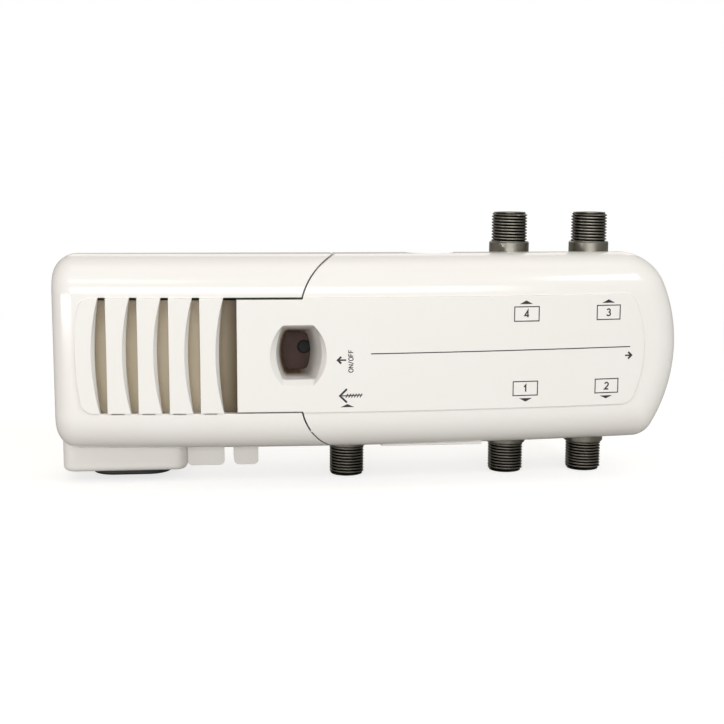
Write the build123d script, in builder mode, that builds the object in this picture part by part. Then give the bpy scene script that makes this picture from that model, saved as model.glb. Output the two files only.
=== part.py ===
from build123d import *
from math import sqrt
import os

# A wall-hung signal amplifier for television aerials, in millimetres. +X runs along its length, +Z is up and
# the front faces -Y. The origin lies on the wall plane, midway between the two keyholes of the back tray.

os.makedirs("parts", exist_ok=True)

# Body as a whole
body_length = 163.5
body_height = 49.8
body_depth = 38.0
bow_radius = 590.0          # the front is bowed in plan
bow_apex_x = -12.25         # where the bow stands furthest forward
end_radius = 41.0           # rounded right end, seen from the front
upper_corner_radius = 14.0  # right end, seen from the front
lower_corner_radius = 6.0
shoulder_radius = 9.5       # long front edges and right end
left_edge_radius = 6.0
shell_wall = 2.2
rim_depth = 16.0            # from the foremost point of the front to the rear rim of both front shells
overrun = 4.0               # how far a cut runs past what it cuts
slide_gap = 0.35            # between the sliding cover and what it passes
seat_gap = 0.1              # between pieces that are fixed to each other
fit_clearance = 0.05        # radial, between a fixed round piece and its bore
down, up = -1, 1            # the two sides of the body
edge_break = 0.4            # small rounding of moulded edges

# Raised panel on the front
panel_gap = 0.1             # between the raised panel and the opening's edges, measured upwards
panel_rise = 0.5
panel_left_margin = 5.9
panel_right_margin = 11.1
panel_left_bulge = 1.5
panel_corner_radius = 3.4

# Parting line between louvred housing and cover
parting_radius = 15.0
parting_offset = 32.5   # from the last slot's straight side to the arcs' centre
parting_inset = 13.9        # from the body's upper and lower faces to the arcs' centres
opening_rise = 3.6          # of the opening past the arcs' centres
tongue_length = 16.5
tongue_top_gap = 0.5
tongue_bottom_gap = 0.4

# Vent slots
slot_count = 4
slot_pitch = 7.7
slot_inset = 13.7           # from the left end to the straight side of the first slot
slot_end_width = 1.8
slot_mid_width = 3.0
slot_flare = 1.0
slot_flare_depth = 1.8
groove_left_margin = 0.9    # from a slot's straight side to the groove under the next bar
groove_right_margin = 1.8   # from that groove to the next slot's end
groove_height = 0.35
bar_groove_depth = 1.2

# Baffle behind the slots
baffle_thick = 1.5
baffle_air_gap = 2.6
baffle_overlap = 0.9        # past the opening below
baffle_top_gap = 1.1        # under the opening's upper edge
baffle_left_inset = 8.0
baffle_right_margin = 2.0   # past the tongue's left edge
baffle_slot_width = 2.2
baffle_slot_height = 20.0
baffle_rib_thick = 1.2

# Finger recess in the tongue
recess_inset = 14.85        # from the tongue's left edge to the recess's middle
recess_z = -0.4
lip_width = 14.3
lip_height = 15.4
lip_flat = 7.5
mouth_width = 11.5
mouth_height = 13.3
mouth_flat = 8.0
mouth_depth = 2.0
mouth_shift_x = 0.7
mouth_shift_z = 0.75
floor_width = 7.0
floor_height = 9.6
floor_flat = 5.0
floor_depth = 14.0
floor_shift_x = 0.85
floor_shift_z = -0.1
recess_corner = 1.1
recess_wall = 1.3

# Cover details
scoop_from_parting = 19.7
scoop_radius = 6.4
grip_from_parting = 19.5
grip_length = 26.5
grip_rise = 0.2
grip_depth = 8.0
hook_from_parting = -1.5
hook_length = 12.0
hook_thick = 1.0
hook_reach = 1.35
hook_rim_gap = 2.5          # from the cover's rear rim to the hook
cover_travel = 34.0

# Back tray
tray_gap = 0.7              # between the shells and the tray inside them
tray_wall = 2.0
tray_back = 2.2
tray_lip = 1.0              # how far the tray reaches into the shells
tray_back_edge = 1.0
rail_lip = 4.6              # how far the guide rails reach into the cover
rail_margin = 2.0           # groove left free past each end of the hook's travel
groove_depth = 1.0
rail_stop = 2.0             # wall that closes each end of the groove
groove_clearance = 0.3
vent_width = 2.0
vent_length = 11.0
vent_back_offset = 5.0      # from the wall plane
vent_count = 6
vent_pitch = 6.0
vent_first_inset = 11.5

# Wall keyholes
keyhole_inset = 31.75       # from each end of the body
keyhole_radius = 4.0
keyhole_slot_width = 4.2
keyhole_slot_rise = 7.0
pocket_wall = 1.2
pocket_front_gap = 0.2      # between the pockets and the chassis
pocket_margin = 1.2

# Mains inlet bulge under the tray
bulge_left_inset = 0.6      # from the left end of the body
bulge_length = 32.3
bulge_drop = 7.45           # below the shells
bulge_wall = 1.8
bulge_front_radius = 3.4
bulge_foot_radius = 1.5
bulge_setback = 0.3         # behind the shells' rear rim

# Cord lugs
lug_setback = 3.0
lug_thick = 6.0
lug_drop = 6.75
lug_gap = 2.5
first_lug_length = 9.75
second_lug_length = 6.45
lug_radius = 1.3

# Mains inlet
inlet_pin_spacing = 8.6
inlet_lobe_radius = 4.1
inlet_waist = 6.2
inlet_wall = 1.25
inlet_socket_depth = 11.0
inlet_base_thick = 3.0
inlet_flange_rim = 0.85
inlet_flange_thick = 1.45
inlet_flange_chamfer = 0.4
inlet_from_bulge_left = 17.6
inlet_rim_gap = 8.9         # from the shells' rear rim to the inlet's axis
inlet_pin_radius = 1.2
inlet_pin_recess = 2.0
inlet_tag_radius = 0.6
inlet_tag_rise = 5.0
inlet_clearance = 0.15

# Supply board and what stands on it
board_thick = 1.6
supply_post_share = 0.293    # of the tray's depth up to the shells' rear rim
supply_left_margin = 1.1
supply_edge_gap = 1.5       # to the tray's upper and lower inner walls
supply_right_margin = 0.6   # to the chassis
post_radius = 2.6
post_left_inset = 11.5
post_right_inset = 5.6
post_edge_inset = 4.3
post_screw_depth = 5.0
core_inset = 32.5
core_z = 3.2
core_length = 18.0
core_height = 16.0
core_thick = 5.0
core_yoke = 3.0
core_leg = 4.0
core_side_leg = 2.8
winding_wall = 2.6
winding_radius = 1.5
input_cap_inset = 15.5
input_cap_z = 3.5
input_cap_radius = 5.0
input_cap_gap = 4.54        # to the baffle's front face
output_cap_right_inset = 16.8
output_cap_z = 6.6
output_cap_radius = 4.0
output_cap_gap = 10.08
can_edge = 0.7
suppressor_inset = 16.5
suppressor_edge_inset = 9.9
suppressor_length = 13.0
suppressor_width = 6.0
suppressor_gap = 8.6
fuse_inset = 28.0
fuse_edge_inset = 6.9
fuse_radius = 4.1
fuse_height = 7.5
choke_right_inset = 24.2
choke_radius = 5.2
choke_bore_radius = 2.2
choke_height = 5.0
chip_inset = 5.9
chip_z = 0.0
chip_length = 6.4
chip_width = 9.3
chip_height = 3.4
sink_inset = 5.5
sink_z = 9.4
sink_length = 2.0
sink_width = 6.6
sink_gap = 5.65
sink_groove_width = 1.1
sink_groove_depth = 1.2
sink_groove_count = 3

# Push switch
switch_shift_x = 2.35       # from the recess's middle
switch_shift_z = -0.1
switch_width = 11.6
switch_height = 13.0
switch_front_gap = 1.1      # from the recess's rear edge to the switch's face
button_shift_x = 2.8
button_shift_z = 0.75
button_radius = 1.66
button_proud = 0.7
button_travel = 1.5
button_stem = 4.0
button_clearance = 0.08

# Die-cast radio-frequency chassis
chassis_wall = 1.8
chassis_left_gap = 0.4      # to the switch
chassis_right_inset = 13.0  # from the right end of the body
chassis_side_gap = 0.4      # to the tray's inner walls
chassis_boss_share = 0.449  # of the room behind the radio-frequency board, less the floor
chassis_rim_gap = 0.3       # behind the rear rim of the front shells
chassis_corner = 3.0
shield_thick = 0.5
shield_skirt = 2.0
skirt_margin = 7.0          # plain stretch of the shield beside each corner
chassis_gap = 0.2           # between the chassis walls and what drops in between them
rf_board_lift = 0.6         # from the port axes back to the board's face
rf_post_radius = 2.4
rf_board_edge_gap = 0.5
chassis_screw_shares = (-0.52, 0.52, -0.17)
chassis_screw_left_inset = 13.6
chassis_screw_right_inset = 4.9
pillar_size = 3.4
chassis_screw_length = 12.0
chassis_boss_radius = 2.6

# Threaded ports
port_rim_gap = 6.0          # from the shells' rear rim to the port axes
port_pitch = 21.9
last_port_inset = 22.3      # from the right end of the body
input_port_inset = 6.2      # from the chassis's left end
port_reach = 35.15          # from the body's middle to the ports' ends
thread_radius = 4.76
thread_length = 7.8
thread_chamfer = 0.6
collar_radius = 5.3
collar_clearance = 0.3
spigot_radius = 4.4
port_bore_radius = 3.6
port_flat_chord = 3.3
insulator_recess = 0.7
insulator_rear_wall = 1.2
contact_radius = 0.95
contact_bore_radius = 0.45
contact_hole_radius = 0.6
contact_root = 5.65         # solid stretch behind the contact's bore
contact_tail_radius = 0.45
contact_tail_length = 3.0
insulator_front_wall = 1.6

# Level adjuster
trimmer_inset = 5.7         # from the chassis's left end
trimmer_share = 0.577
trimmer_size = 5.6
trimmer_height = 4.6
knob_radius = 2.8
knob_height = 5.2
knob_stem_radius = 1.5
knob_stem_length = 3.0
knob_clearance = 0.06
knob_lift = 0.4
knob_slot_width = 0.9
knob_slot_depth = 1.3
shield_hole_clearance = 0.5

# Radio-frequency board's parts
amp_inset = 22.2
amp_z = 2.0
amp_size = 6.0
amp_height = 1.7
splitter_shares = (("1", 0.443, 0.35), ("2", 0.625, 0.17), ("3", 0.834, 0.4))
splitter_length = 7.0
splitter_width = 4.0
splitter_height = 4.0
splitter_bore_radius = 0.8
splitter_bore_spacing = 3.5
filter_inset = 9.2
filter_z = -2.5
filter_length = 10.0
filter_width = 8.0
filter_height = 4.6
coil_shares = (("1", 0.43, -0.56), ("2", 0.74, -0.5))
coil_radius = 1.6
coil_length = 4.6

# Feedthrough
feed_z = -10.6
feed_bush_radius = 1.5
feed_bush_length = 4.4
feed_wire_radius = 0.45
feed_left_reach = 1.1
feed_right_reach = 3.4
feed_bend_radius = 1.0

# Screws
screw_radius = 1.45
screw_pilot_clearance = 0.05
screw_head_radius = 2.7
screw_head_height = 1.2
housing_boss_radius = 3.2
housing_boss_left_inset = 8.5
housing_boss_left_gap = 4.0     # from the tray's inner walls
housing_boss_right_gap = 10.0   # from the last slot's straight side
housing_boss_right_rise = 0.4   # further out than the left pair
housing_screw_length = 12.0
small_screw_radius = 1.1
small_head_radius = 2.1
small_head_height = 1.0
board_screw_length = 6.0
shield_screw_radius = 0.9
shield_screw_length = 5.0
shield_head_radius = 1.5
shield_head_height = 0.7
counterbore_depth = 1.3
counterbore_clearance = 0.15

# Places worked out from the sizes above
half_length = body_length / 2
half_height = body_height / 2
parting_center_z = half_height - parting_inset
opening_top = parting_center_z + opening_rise
baffle_bottom = -opening_top - baffle_overlap
baffle_top = opening_top - baffle_top_gap
skin_y = panel_rise - body_depth                      # foremost point of the skin beside the raised panel
rim_y = rim_depth - body_depth                        # rear rim of both front shells
bow_center_y = skin_y + bow_radius
end_center_x = half_length - end_radius
tray_inset = shell_wall + tray_gap
tray_half_height = half_height - tray_inset
tray_inner_half = tray_half_height - tray_wall
tray_front_y = rim_y - tray_lip
first_slot_x = slot_inset - half_length
tongue_slot_x = first_slot_x + slot_count * slot_pitch
parting_center_x = tongue_slot_x + parting_offset
parting_front_x = parting_center_x - sqrt(parting_radius**2 - (opening_top - parting_center_z) ** 2)
tongue_left_x = parting_front_x - tongue_length
tongue_top = opening_top - tongue_top_gap
tongue_bottom = tongue_bottom_gap - opening_top
floor_y = floor_depth - body_depth
recess_x = tongue_left_x + recess_inset
switch_x = recess_x + switch_shift_x
switch_z = recess_z + switch_shift_z
button_x = recess_x + button_shift_x
button_z = recess_z + button_shift_z
scoop_x = parting_center_x + scoop_from_parting
grip_x = parting_center_x + grip_from_parting
hook_left_x = parting_center_x + hook_from_parting
vent_first_x = vent_first_inset - half_length
keyhole_x = half_length - keyhole_inset
chassis_left_x = switch_x + switch_width / 2 + chassis_left_gap
chassis_right_x = half_length - chassis_right_inset
port_y = rim_y + port_rim_gap
rf_board_front_y = port_y + rf_board_lift
rf_board_back_y = rf_board_front_y + board_thick
chassis_front_y = rim_y - chassis_rim_gap
chassis_slack = -tray_back - rf_board_back_y - chassis_wall
chassis_back_y = -tray_back - chassis_boss_share * chassis_slack
pocket_depth = -chassis_back_y - pocket_front_gap - pocket_wall
supply_post_height = -supply_post_share * (rim_y + tray_back)
supply_front_y = -(tray_back + supply_post_height + board_thick)
supply_left_x = tray_inset + tray_wall + supply_left_margin - half_length
supply_right_x = chassis_left_x - supply_right_margin
supply_half = tray_inner_half - supply_edge_gap
post_left_x = supply_left_x + post_left_inset
post_right_x = supply_right_x - post_right_inset
post_z = supply_half - post_edge_inset
core_x = supply_left_x + core_inset
suppressor_z = suppressor_edge_inset - supply_half
fuse_z = fuse_edge_inset - supply_half
choke_z = fuse_z
input_cap_x = supply_left_x + input_cap_inset
output_cap_x = supply_right_x - output_cap_right_inset
suppressor_x = supply_left_x + suppressor_inset
fuse_x = supply_left_x + fuse_inset
choke_x = supply_right_x - choke_right_inset
chip_x = supply_left_x + chip_inset
sink_x = supply_left_x + sink_inset
switch_face_y = floor_y + switch_front_gap
chassis_half = tray_inner_half - chassis_side_gap
second_port_x = half_length - last_port_inset
first_port_x = second_port_x - port_pitch
input_port_x = chassis_left_x + input_port_inset
trimmer_x = chassis_left_x + trimmer_inset
trimmer_z = trimmer_share * chassis_half
amp_x = chassis_left_x + amp_inset
filter_x = chassis_left_x + filter_inset
housing_boss_left_x = housing_boss_left_inset - half_length
housing_boss_left_z = tray_inner_half - housing_boss_left_gap
housing_boss_right_z = housing_boss_left_z + housing_boss_right_rise
housing_boss_right_x = tongue_slot_x + housing_boss_right_gap
housing_boss_spots = (
    (housing_boss_left_x, housing_boss_left_z),
    (housing_boss_left_x, -housing_boss_left_z),
    (housing_boss_right_x, housing_boss_right_z),
    (housing_boss_right_x, -housing_boss_right_z),
)
bulge_left_x = bulge_left_inset - half_length
bulge_right_x = bulge_left_x + bulge_length
bulge_front_y = rim_y + bulge_setback
bulge_foot_z = -half_height - bulge_drop
inlet_x = bulge_left_x + inlet_from_bulge_left
inlet_y = rim_y + inlet_rim_gap
rail_left_x = hook_left_x - rail_margin
rail_right_x = hook_left_x + hook_length + cover_travel + rail_margin
rail_front_y = rim_y - rail_lip
hook_back_y = rim_y - hook_rim_gap
hook_front_y = hook_back_y - hook_thick
bulge_inner_left_x = bulge_left_x + bulge_wall
bulge_inner_right_x = bulge_right_x - bulge_wall
first_lug_x = bulge_right_x
second_lug_x = first_lug_x + first_lug_length + lug_gap
inlet_mouth_z = bulge_foot_z - inlet_flange_thick
inlet_base_z = inlet_mouth_z + inlet_socket_depth
inlet_top_z = inlet_base_z + inlet_base_thick
chassis_length = chassis_right_x - chassis_left_x
chassis_floor_y = chassis_back_y - chassis_wall
chassis_inner_left_x = chassis_left_x + chassis_wall
chassis_inner_right_x = chassis_right_x - chassis_wall
chassis_inner_half = chassis_half - chassis_wall
chassis_screw_row = (
    chassis_left_x + chassis_screw_left_inset,
    (chassis_left_x + chassis_right_x) / 2 + chassis_screw_left_inset / 2 - chassis_screw_right_inset,
    chassis_right_x - chassis_screw_right_inset,
)
chassis_screw_spots = [(x, share * chassis_half) for x, share in zip(chassis_screw_row, chassis_screw_shares)]
shield_front_y = chassis_front_y - shield_thick
shield_screw_spots = (
    ("1", chassis_inner_left_x + pillar_size / 2, pillar_size / 2 - chassis_inner_half),
    ("2", chassis_inner_right_x - pillar_size / 2, chassis_inner_half - pillar_size / 2),
)
port_places = (
    ("in", input_port_x, down),
    ("1", first_port_x, down),
    ("2", second_port_x, down),
    ("3", second_port_x, up),
    ("4", first_port_x, up),
)
collar_end = port_reach - thread_length
insulator_front = port_reach - insulator_recess
flat_distance = sqrt(thread_radius**2 - (port_flat_chord / 2) ** 2)
pilot_radius = screw_radius + screw_pilot_clearance
small_pilot_radius = small_screw_radius + screw_pilot_clearance
core_y = supply_front_y - core_thick / 2 - seat_gap - winding_wall
trimmer_front_y = rf_board_front_y - trimmer_height
knob_back_y = trimmer_front_y - knob_lift
knob_front_y = knob_back_y - knob_height
knob_stem_y = knob_back_y + knob_stem_length
feed_y = rf_board_front_y - feed_bush_radius - seat_gap
feed_bush_left_x = chassis_left_x - (feed_bush_length - chassis_wall) / 2


def facing(y):
    """Sketch plane across the body at depth y, drawn as the viewer sees it."""
    return Plane.XZ.offset(-y)


def bow_sag(x):
    """How far the bowed front lies behind its apex at x."""
    return bow_radius - sqrt(bow_radius**2 - (x - bow_apex_x) ** 2)


def bow_cylinder(offset, mode):
    """Upright cylinder whose nearest side is the bowed front, moved forward by offset."""
    with Locations((bow_apex_x, bow_center_y, 0)):
        Cylinder(radius=bow_radius + offset, height=2 * body_height, mode=mode)


def body_outline(y, inset, left_radius, lower_radius):
    """Front view of the body at depth y, drawn inset from the skin. A radius of zero keeps a corner sharp."""
    left = inset - half_length
    top = half_height - inset
    end_x = end_center_x + sqrt((end_radius - inset) ** 2 - top**2)
    with BuildSketch(facing(y)) as outline:
        with BuildLine():
            Polyline((end_x, -top), (left, -top), (left, top), (end_x, top))
            ThreePointArc((end_x, top), (half_length - inset, 0), (end_x, -top))
        make_face()
        upper_corner = outline.vertices().group_by(Axis.Y)[-1].sort_by(Axis.X)[-1]
        fillet(upper_corner, upper_corner_radius - inset)
        if lower_radius > 0:
            lower_corner = outline.vertices().group_by(Axis.Y)[0].sort_by(Axis.X)[-1]
            fillet(lower_corner, lower_radius)
        if left_radius > 0:
            fillet(outline.vertices().group_by(Axis.X)[0], left_radius)
    return outline.sketch


def body_form(inset):
    """Body with its bowed front and rounded shoulders, every surface moved inwards by inset."""
    with BuildPart() as form:
        extrude(body_outline(rim_y + overrun, inset, 0, 0), amount=rim_depth + 2 * overrun)
        bow_cylinder(-inset, Mode.INTERSECT)
        front_edges = form.faces().sort_by(Axis.Y)[0].edges().sort_by(Axis.X)
        fillet(front_edges[1:], shoulder_radius - inset)
        lower_edges = form.edges().filter_by(Axis.Y).group_by(Axis.Z)[0].sort_by(Axis.X)
        fillet(lower_edges[-1], lower_corner_radius - inset)
        left_edges = form.faces().sort_by(Axis.X)[0].edges().sort_by(Axis.Y)
        fillet(left_edges[:-1], left_edge_radius - inset)
    return form.part


def panel_layer():
    """Raised panel of the front, from half-way into the wall to its own face."""
    left = panel_left_margin - half_length
    right_radius = end_radius - panel_right_margin
    top = opening_top - panel_gap
    right_x = end_center_x + sqrt(right_radius**2 - top**2)
    with BuildPart() as layer:
        with BuildSketch(facing(rim_y)) as outline:
            with BuildLine():
                Line((left + panel_left_bulge, top), (right_x, top))
                ThreePointArc((right_x, top), (end_center_x + right_radius, 0), (right_x, -top))
                Line((right_x, -top), (left + panel_left_bulge, -top))
                ThreePointArc((left + panel_left_bulge, -top), (left, 0), (left + panel_left_bulge, top))
            make_face()
            fillet(outline.vertices(), panel_corner_radius)
        extrude(amount=rim_depth + overrun)
        bow_cylinder(panel_rise, Mode.INTERSECT)
        bow_cylinder(-shell_wall / 2, Mode.SUBTRACT)
    return layer.part


outer_form = body_form(0)
inner_form = body_form(shell_wall)
raised_panel = panel_layer()


def parting_x(z, gap):
    """X of the parting line at height z, moved left by gap."""
    return parting_center_x - sqrt((parting_radius + gap) ** 2 - (abs(z) - parting_center_z) ** 2)


def arc_points(gap, z_from, z_to):
    """Three points of the parting line's arc between two heights on one side of the body."""
    return [(parting_x(z, gap), z) for z in (z_from, (z_from + z_to) / 2, z_to)]


def slot_sketch(y, right_x, mid_width, end_width):
    """One vent slot at depth y: straight on the right, arched on the left."""
    half = opening_top
    left_x = right_x - end_width
    with BuildSketch(facing(y)) as slot:
        with BuildLine():
            Polyline((left_x, -half), (right_x, -half), (right_x, half), (left_x, half))
            ThreePointArc((left_x, half), (right_x - mid_width, 0), (left_x, -half))
        make_face()
    return slot.sketch


def barrel_sketch(y, center, width, height, flat, corner):
    """Barrel outline at depth y: flat above and below, bulging left and right, with rounded corners."""
    x, z = center
    with BuildSketch(facing(y)) as barrel:
        with BuildLine():
            Line((x - flat / 2, z + height / 2), (x + flat / 2, z + height / 2))
            ThreePointArc((x + flat / 2, z + height / 2), (x + width / 2, z), (x + flat / 2, z - height / 2))
            Line((x + flat / 2, z - height / 2), (x - flat / 2, z - height / 2))
            ThreePointArc((x - flat / 2, z - height / 2), (x - width / 2, z), (x - flat / 2, z + height / 2))
        make_face()
        fillet(barrel.vertices(), corner)
    return barrel.sketch


def baffle_room(x, gap):
    """Height free above the supply board at x, up to a gap behind the baffle's front face."""
    return supply_front_y - skin_y - bow_sag(x) - shell_wall - baffle_air_gap - gap


def box_at(x_range, y_range, z_range, mode=Mode.ADD):
    """Block between two corners, given as ranges along X, Y and Z."""
    with Locations((x_range[0], y_range[0], z_range[0])):
        Box(
            x_range[1] - x_range[0], y_range[1] - y_range[0], z_range[1] - z_range[0],
            align=(Align.MIN, Align.MIN, Align.MIN), mode=mode,
        )


def peg_at(x, z, radius, y_back, y_front, mode=Mode.ADD):
    """Round peg or hole along Y between two depths."""
    with BuildSketch(facing(y_back)) as section:
        with Locations((x, z)):
            Circle(radius)
    extrude(section.sketch, amount=y_back - y_front, mode=mode)


def post_at(x, y, radius, z_from, z_to, mode=Mode.ADD):
    """Round post or hole along Z between two heights."""
    with BuildSketch(Plane.XY.offset(z_from)) as section:
        with Locations((x, y)):
            Circle(radius)
    extrude(section.sketch, amount=z_to - z_from, mode=mode)


# Louvred housing: left front shell with vent slots, the tongue's opening, baffle ribs and four screw bosses
shell_reach = half_length + overrun
shell_top = half_height + overrun
part_top = (half_height + parting_center_z + parting_radius) / 2
baffle_front = -(shell_wall + baffle_air_gap)
with BuildPart() as baffle_ribs:
    for side in (down, up):
        edge = side * (opening_top + slide_gap)
        far_edge = edge + side * baffle_rib_thick
        box_at(
            (baffle_left_inset - half_length, tongue_slot_x - slot_mid_width),
            (skin_y, rim_y), (min(edge, far_edge), max(edge, far_edge)),
        )
    bow_cylinder(-shell_wall / 2, Mode.INTERSECT)
    bow_cylinder(baffle_front + seat_gap, Mode.SUBTRACT)

with BuildPart() as louvre_housing:
    add(outer_form)
    add(raised_panel)
    add(inner_form, mode=Mode.SUBTRACT)
    with BuildSketch(facing(rim_y)):
        with BuildLine():
            lower_arc = ThreePointArc(*arc_points(slide_gap, -part_top, -opening_top))
            upper_arc = ThreePointArc(*arc_points(slide_gap, opening_top, part_top))
            Line(lower_arc @ 1, upper_arc @ 0)
            Polyline(upper_arc @ 1, (-shell_reach, part_top), (-shell_reach, -part_top), lower_arc @ 0)
        make_face()
    extrude(amount=rim_depth + overrun, mode=Mode.INTERSECT)
    add(baffle_ribs.part)
    for boss_x, boss_z in housing_boss_spots:
        boss_top = skin_y + bow_sag(boss_x) + shell_wall / 2
        peg_at(boss_x, boss_z, housing_boss_radius, -(tray_back + seat_gap), boss_top)
        pilot_end = -(counterbore_depth + housing_screw_length + overrun)
        peg_at(boss_x, boss_z, pilot_radius, 0, pilot_end, Mode.SUBTRACT)
    for slot in range(slot_count + 1):
        slot_x = first_slot_x + slot * slot_pitch
        slot_back_y = skin_y + bow_sag(slot_x) + shell_wall + baffle_air_gap / 2
        panel_y = skin_y + bow_sag(slot_x) - panel_rise
        straight = slot_sketch(slot_back_y, slot_x, slot_mid_width, slot_end_width)
        extrude(straight, amount=slot_back_y - panel_y + overrun, mode=Mode.SUBTRACT)
        inner_edge = slot_sketch(panel_y + slot_flare_depth, slot_x, slot_mid_width, slot_end_width)
        wide_mid = slot_mid_width + 2 * slot_flare
        outer_edge = slot_sketch(panel_y - slot_flare_depth, slot_x, wide_mid, slot_end_width)
        loft(sections=[inner_edge, outer_edge], ruled=True, mode=Mode.SUBTRACT)
    for bar in range(slot_count):
        bar_left_x = first_slot_x + bar * slot_pitch
        groove_right_x = bar_left_x + slot_pitch - slot_end_width - groove_right_margin
        groove_x = (bar_left_x + groove_left_margin, groove_right_x)
        groove_back_y = skin_y + bow_sag(bar_left_x) + bar_groove_depth
        groove_z = (-opening_top - groove_height / 2, -opening_top + groove_height / 2)
        box_at(groove_x, (skin_y - overrun, groove_back_y), groove_z, Mode.SUBTRACT)
    box_at(
        (tongue_slot_x - slot_end_width, shell_reach), (skin_y - overrun, rim_y), (-opening_top, opening_top),
        Mode.SUBTRACT,
    )
louvre_housing.part.label = "louvre_housing"
export_step(louvre_housing.part, "parts/louvre_housing.step")

# Baffle: bowed plate behind the slots, with its own slots behind the bars
with BuildPart() as vent_baffle:
    box_at(
        (baffle_left_inset - half_length, tongue_left_x + baffle_right_margin),
        (skin_y, rim_y), (baffle_bottom, baffle_top),
    )
    for slot in range(1, slot_count + 1):
        bar_x = first_slot_x + slot * slot_pitch - slot_mid_width - (slot_pitch - slot_mid_width) / 2
        box_at(
            (bar_x - baffle_slot_width / 2, bar_x + baffle_slot_width / 2), (skin_y, rim_y),
            (-baffle_slot_height / 2, baffle_slot_height / 2), Mode.SUBTRACT,
        )
    bow_cylinder(baffle_front, Mode.INTERSECT)
    bow_cylinder(baffle_front - baffle_thick, Mode.SUBTRACT)
    for boss_x, boss_z in housing_boss_spots:
        peg_at(boss_x, boss_z, housing_boss_radius + slide_gap, rim_y, skin_y, Mode.SUBTRACT)
vent_baffle.part.label = "vent_baffle"
export_step(vent_baffle.part, "parts/vent_baffle.step")

# Sliding cover: right front shell, tongue, tapered finger recess, rail hooks, thumb scoop and grip
lip_center = (recess_x, recess_z)
mouth_center = (recess_x + mouth_shift_x, recess_z + mouth_shift_z)
floor_center = (recess_x + floor_shift_x, recess_z + floor_shift_z)
lip_y = skin_y - panel_rise + bow_sag(recess_x)
mouth_y = lip_y + mouth_depth
double_wall = 2 * recess_wall
with BuildPart() as front_cover:
    add(outer_form)
    add(raised_panel)
    add(inner_form, mode=Mode.SUBTRACT)
    with BuildSketch(facing(rim_y)):
        with BuildLine():
            lower_arc = ThreePointArc(*arc_points(0, -part_top, tongue_bottom))
            upper_arc = ThreePointArc(*arc_points(0, tongue_top, part_top))
            Polyline(upper_arc @ 1, (shell_reach, part_top), (shell_reach, -part_top), lower_arc @ 0)
            tongue_corners = [(tongue_left_x, tongue_bottom), (tongue_left_x, tongue_top)]
            Polyline(lower_arc @ 1, *tongue_corners, upper_arc @ 0)
        make_face()
    extrude(amount=rim_depth + overrun, mode=Mode.INTERSECT)
    for side in (down, up):
        hook_root = side * (half_height - shell_wall / 2)
        hook_tip = side * (half_height - shell_wall - hook_reach)
        box_at(
            (hook_left_x, hook_left_x + hook_length), (hook_front_y, hook_back_y),
            (min(hook_root, hook_tip), max(hook_root, hook_tip)),
        )
    box_at(
        (grip_x - grip_length / 2, grip_x + grip_length / 2), (rim_y - grip_depth, rim_y),
        (-half_height - grip_rise, -half_height + shell_wall / 2),
    )
    outer_mouth = barrel_sketch(
        lip_y + panel_rise + shell_wall / 2, mouth_center,
        mouth_width + double_wall, mouth_height + double_wall, mouth_flat, recess_corner,
    )
    outer_floor = barrel_sketch(
        floor_y, floor_center,
        floor_width + double_wall, floor_height + double_wall, floor_flat, recess_corner,
    )
    loft(sections=[outer_mouth, outer_floor])
    lip = barrel_sketch(
        lip_y - mouth_depth, lip_center,
        2 * lip_width - mouth_width, 2 * lip_height - mouth_height, lip_flat, recess_corner,
    )
    mouth = barrel_sketch(mouth_y, mouth_center, mouth_width, mouth_height, mouth_flat, recess_corner)
    loft(sections=[lip, mouth], mode=Mode.SUBTRACT)
    recess_floor = barrel_sketch(floor_y, floor_center, floor_width, floor_height, floor_flat, recess_corner)
    loft(sections=[mouth, recess_floor], mode=Mode.SUBTRACT)
    post_at(scoop_x, rim_y, scoop_radius, half_height - shell_wall - hook_reach, shell_top, Mode.SUBTRACT)
front_cover.part.label = "front_cover"
export_step(front_cover.part, "parts/front_cover.step")

# Back tray: wall plate, side walls, guide rails, keyholes, inlet bulge, cord lugs, vents, posts and bosses
tray_corner = left_edge_radius - tray_inset
tray_lower_corner = lower_corner_radius - tray_inset
with BuildPart() as inlet_bulge:
    box_at((bulge_left_x, bulge_right_x), (bulge_front_y, 0), (bulge_foot_z, -tray_inner_half))
    front_corners = inlet_bulge.edges().filter_by(Axis.Z).group_by(Axis.Y)[0]
    fillet(front_corners, bulge_front_radius)
    fillet(inlet_bulge.faces().sort_by(Axis.Z)[0].edges(), bulge_foot_radius)

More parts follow.
